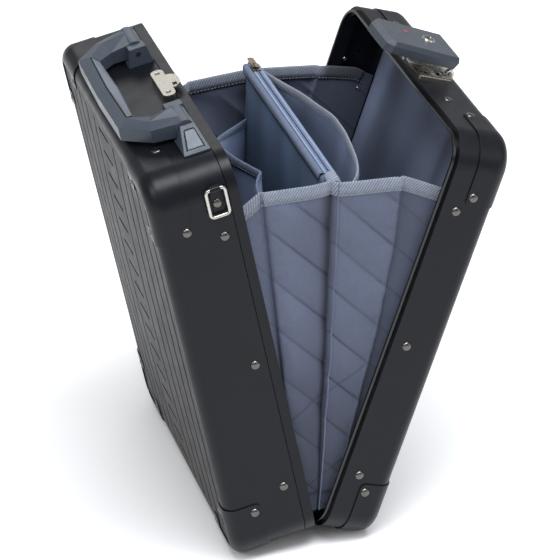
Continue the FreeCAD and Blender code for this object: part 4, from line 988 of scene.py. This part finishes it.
def lining_wall(body, back_u):
    """Cloth along the three lower walls of a half, with a hem on each side wall."""
    half = WIDTH / 2 - LINING_INSET
    corner = CORNER_IN - 1.0
    angles = np.linspace(0.1, math.pi / 2 - 0.1, 9)
    path = [(-half, v) for v in np.linspace(WALL_HEM[body], LINING_INSET + corner, 40)]
    path += [(-half + corner * (1 - math.cos(a)), LINING_INSET + corner * (1 - math.sin(a))) for a in angles]
    path += [(y, LINING_INSET) for y in np.linspace(-half + corner, half - corner, 40)]
    path += [(half - corner * (1 - math.sin(a)), LINING_INSET + corner * (1 - math.cos(a))) for a in angles]
    path += [(half, v) for v in np.linspace(LINING_INSET + corner, WALL_HEM[body], 40)]
    rows = []
    tone = []
    for y, v in path:
        row = []
        for u in np.linspace(12.2, back_u - 4.5, 12):
            loose = abs(wobble(u * 0.03, v * 0.02, y * 0.02, 1.0))
            row.append(place(body, u, y - math.copysign(loose, y), v))
            # Painted shade: the walls darkened all over, most low down.
            tone.append(lerp(0.3, 0.55, smooth((v - 150.0) / 200.0)))
        rows.append(row)
    name = "%s_lining_wall" % body
    cloth = add_object(name, grid_mesh(name, rows, tone), lining_cloth)
    thicken(cloth, CLOTH_THICK)
    return cloth, [rows[0], rows[-1]]


for body, depth in DEPTH.items():
    back_u = depth - BACK_GAP
    curtain = lining_back(body, back_u)
    wall, hems = lining_wall(body, back_u)
    body_up = direction(body, 0, 0, 1)
    profile = binding_profile(0.0125, 0.0022)
    tapes = []
    for word, hem in zip(("near", "far"), hems):
        name = "%s_lining_binding_%s" % (body, word)
        tapes.append(sweep(name, resample(hem, TAPE_STEP), profile, body_up, binding_cloth))
    for piece in (curtain, wall, *tapes):
        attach(piece, body)
    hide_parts("%s_lining" % body)


# ------------------------------------------------------------------ rivets
# Radius and height of the side rivets' heads, and the lower heads on top and on the strap loops, in mm.
RIVET_R = 4.6
RIVET_H = 2.4
TOP_RIVET_H = 1.7
STRAP_RIVET_H = 1.9
# Thickness of the caps and strap loops that rivets stand on, and the rivets' places.
CAP_LIFT = 1.3
STRAP_LIFT = 1.2
CAP_RIVET_V = 58.5
CAP_RIVET_Y = 62.0
STRAP_V = 420.5
CAP_U = {"base": 58.5, "lid": 29.0}
BAND_U = {"base": 23.5, "lid": 16.8}


def dome_rows(seat, out, radius, height):
    """Domed head with a fine lip where it meets the metal."""
    profile = [(radius * 1.06, 0.0), (radius * 1.06, height * 0.1), (radius, height * 0.16)]
    for i in range(1, 9):
        a = math.pi / 2 * i / 8.4
        profile.append((radius * math.cos(a), height * (0.16 + 0.84 * math.sin(a))))
    return lathe([(r * MM, h * MM) for r, h in profile], seat, out)


def rivet_heads(body):
    """A half's rivets: two in each cap, three along each side band, and the lid's own two on top."""
    half = WIDTH / 2
    shapes = []
    for sy in (-1, 1):
        side_out = Vector((0, sy, 0))
        for v in (CAP_RIVET_V, HEIGHT - CAP_RIVET_V):
            seat = place(body, CAP_U[body], sy * (half + CAP_LIFT), v)
            shapes.append(dome_rows(seat, side_out, RIVET_R, RIVET_H))
        for v in (77.0, HEIGHT / 2, HEIGHT - 76.0):
            shapes.append(dome_rows(place(body, BAND_U[body], sy * half, v), side_out, RIVET_R, RIVET_H))
        for v, up in ((-CAP_LIFT, -1), (HEIGHT + CAP_LIFT, 1)):
            seat = place(body, CAP_U[body], sy * (half - CAP_RIVET_Y), v)
            shapes.append(dome_rows(seat, direction(body, 0, 0, up), RIVET_R, TOP_RIVET_H))
        if body == "lid":
            seat = place(body, 18.5, sy * 73.5, HEIGHT)
            shapes.append(dome_rows(seat, direction(body, 0, 0, 1), RIVET_R, TOP_RIVET_H))
    return join_rows("%s_rivet_heads" % body, shapes, pewter)


for body in ("base", "lid"):
    heads = rivet_heads(body)
    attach(heads, body)
    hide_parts("%s_rivets" % body)
strap_shapes = []
for sign in (-1, 1):
    seat = place("base", BAND_U["base"], sign * (WIDTH / 2 + STRAP_LIFT), STRAP_V)
    strap_shapes.append(dome_rows(seat, Vector((0, sign, 0)), RIVET_R, STRAP_RIVET_H))
strap_heads = join_rows("strap_rivet_heads", strap_shapes, pewter)
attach(strap_heads, "base")
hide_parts("strap_rivets")

snap_seats = (place("lid", 36.0, 157.2, 362.0), place("lid", 11.8, 161.4, 391.0))
snaps = [dome_rows(seat, Vector((0, -1, 0)), 2.2, 1.0) for seat in snap_seats]
snap_heads = join_rows("lid_snap_heads", snaps, nickel)
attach(snap_heads, "lid")


# ------------------------------------------------------------------ fine lines of the handle
# The grip's seam: u, y and height over the case's top, in mm.
GRIP_SEAM = ((66.0, 63.2, 18.9), (72.4, 68.2, 22.6), (74.3, 0.0, 22.6), (72.4, -68.2, 22.6),
             (66.0, -63.2, 18.9))
# The forks' sloping outer cheeks: where they start and end along y, height at the start and drop, in mm.
CHEEK_Y = 110.0
CHEEK_FAR = 137.0
CHEEK_TOP = 18.5
CHEEK_DROP = 16.9


def fine_line(name, points):
    """Thin dark line through points: a painted shadow in a seam's gap."""
    up = direction("base", 0.3, 0.2, 1.0)
    return sweep(name, resample(points, 0.002), SEAM_LINE, up, seam_dark)


def cheek_point(sign, share, t, lift):
    """A point on the sloping outer cheek: share across it, t down it, lift off it, in mm."""
    run = CHEEK_FAR - CHEEK_Y
    length = math.hypot(run, CHEEK_DROP)
    u = lerp(lerp(16.5, 11.5, t), lerp(31.0, 38.0, t), share)
    y = CHEEK_Y + run * t + CHEEK_DROP / length * lift
    return place("base", u, sign * y, HEIGHT + CHEEK_TOP - CHEEK_DROP * t + run / length * lift)


handle_seam = fine_line("handle_grip_seam", [place("base", u, y, HEIGHT + h) for u, y, h in GRIP_SEAM])
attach(handle_seam, "handle")
for sign, word in ((-1, "near"), (1, "far")):
    shares = ((0.15, 0.87), (0.2, 0.17), (0.8, 0.17), (0.86, 0.87))
    outline = fine_line("mount_seam_" + word, [cheek_point(sign, share, t, 0.35) for share, t in shares])
    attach(outline, "base")

# ------------------------------------------------------------------ stage
FLOOR_HALF = 14.0
FLOOR_DROP = 0.0002
floor_mesh = bpy.data.meshes.new("floor")
floor_corners = [(sx * FLOOR_HALF, sy * FLOOR_HALF, 0) for sx, sy in ((-1, -1), (1, -1), (1, 1), (-1, 1))]
floor_mesh.from_pydata(floor_corners, [], [(0, 1, 2, 3)])
floor_look = Look("floor_paint", (0.95, 0.95, 0.955), 0.9, specular=0.1)
floor = add_object("floor", floor_mesh, floor_look.done())
floor.location.z = -FLOOR_DROP

world = bpy.data.worlds.new("studio")
world.use_nodes = True
world.node_tree.nodes["Background"].inputs["Color"].default_value = (0.98, 0.99, 1.0, 1.0)
world.node_tree.nodes["Background"].inputs["Strength"].default_value = 0.5
bpy.context.scene.world = world
bpy.context.scene.view_settings.view_transform = "Standard"


def softbox(name, location, target, size, power, color=(1, 1, 1)):
    """Rectangular studio light aimed at a point."""
    data = bpy.data.lights.new(name, "AREA")
    data.shape = "RECTANGLE"
    data.size, data.size_y = size
    data.energy = power
    data.color = color
    obj = bpy.data.objects.new(name, data)
    obj.location = location
    aim = Vector(target) - Vector(location)
    obj.rotation_euler = aim.to_track_quat("-Z", "Y").to_euler()
    bpy.context.scene.collection.objects.link(obj)


softbox("key", (-2.4, -1.4, 2.6), (0, 0, 0.25), (1.4, 1.4), 36)
softbox("top", (0.2, -0.75, 3.0), (0, 0, 0.2), (2.6, 1.25), 118, (0.93, 0.96, 1.0))
softbox("back", (0.3, 2.5, 2.0), (0, 0, 0.35), (2.4, 1.2), 15)
softbox("fill", (2.6, -2.2, 1.8), (0, 0, 0.25), (2.0, 2.0), 16)
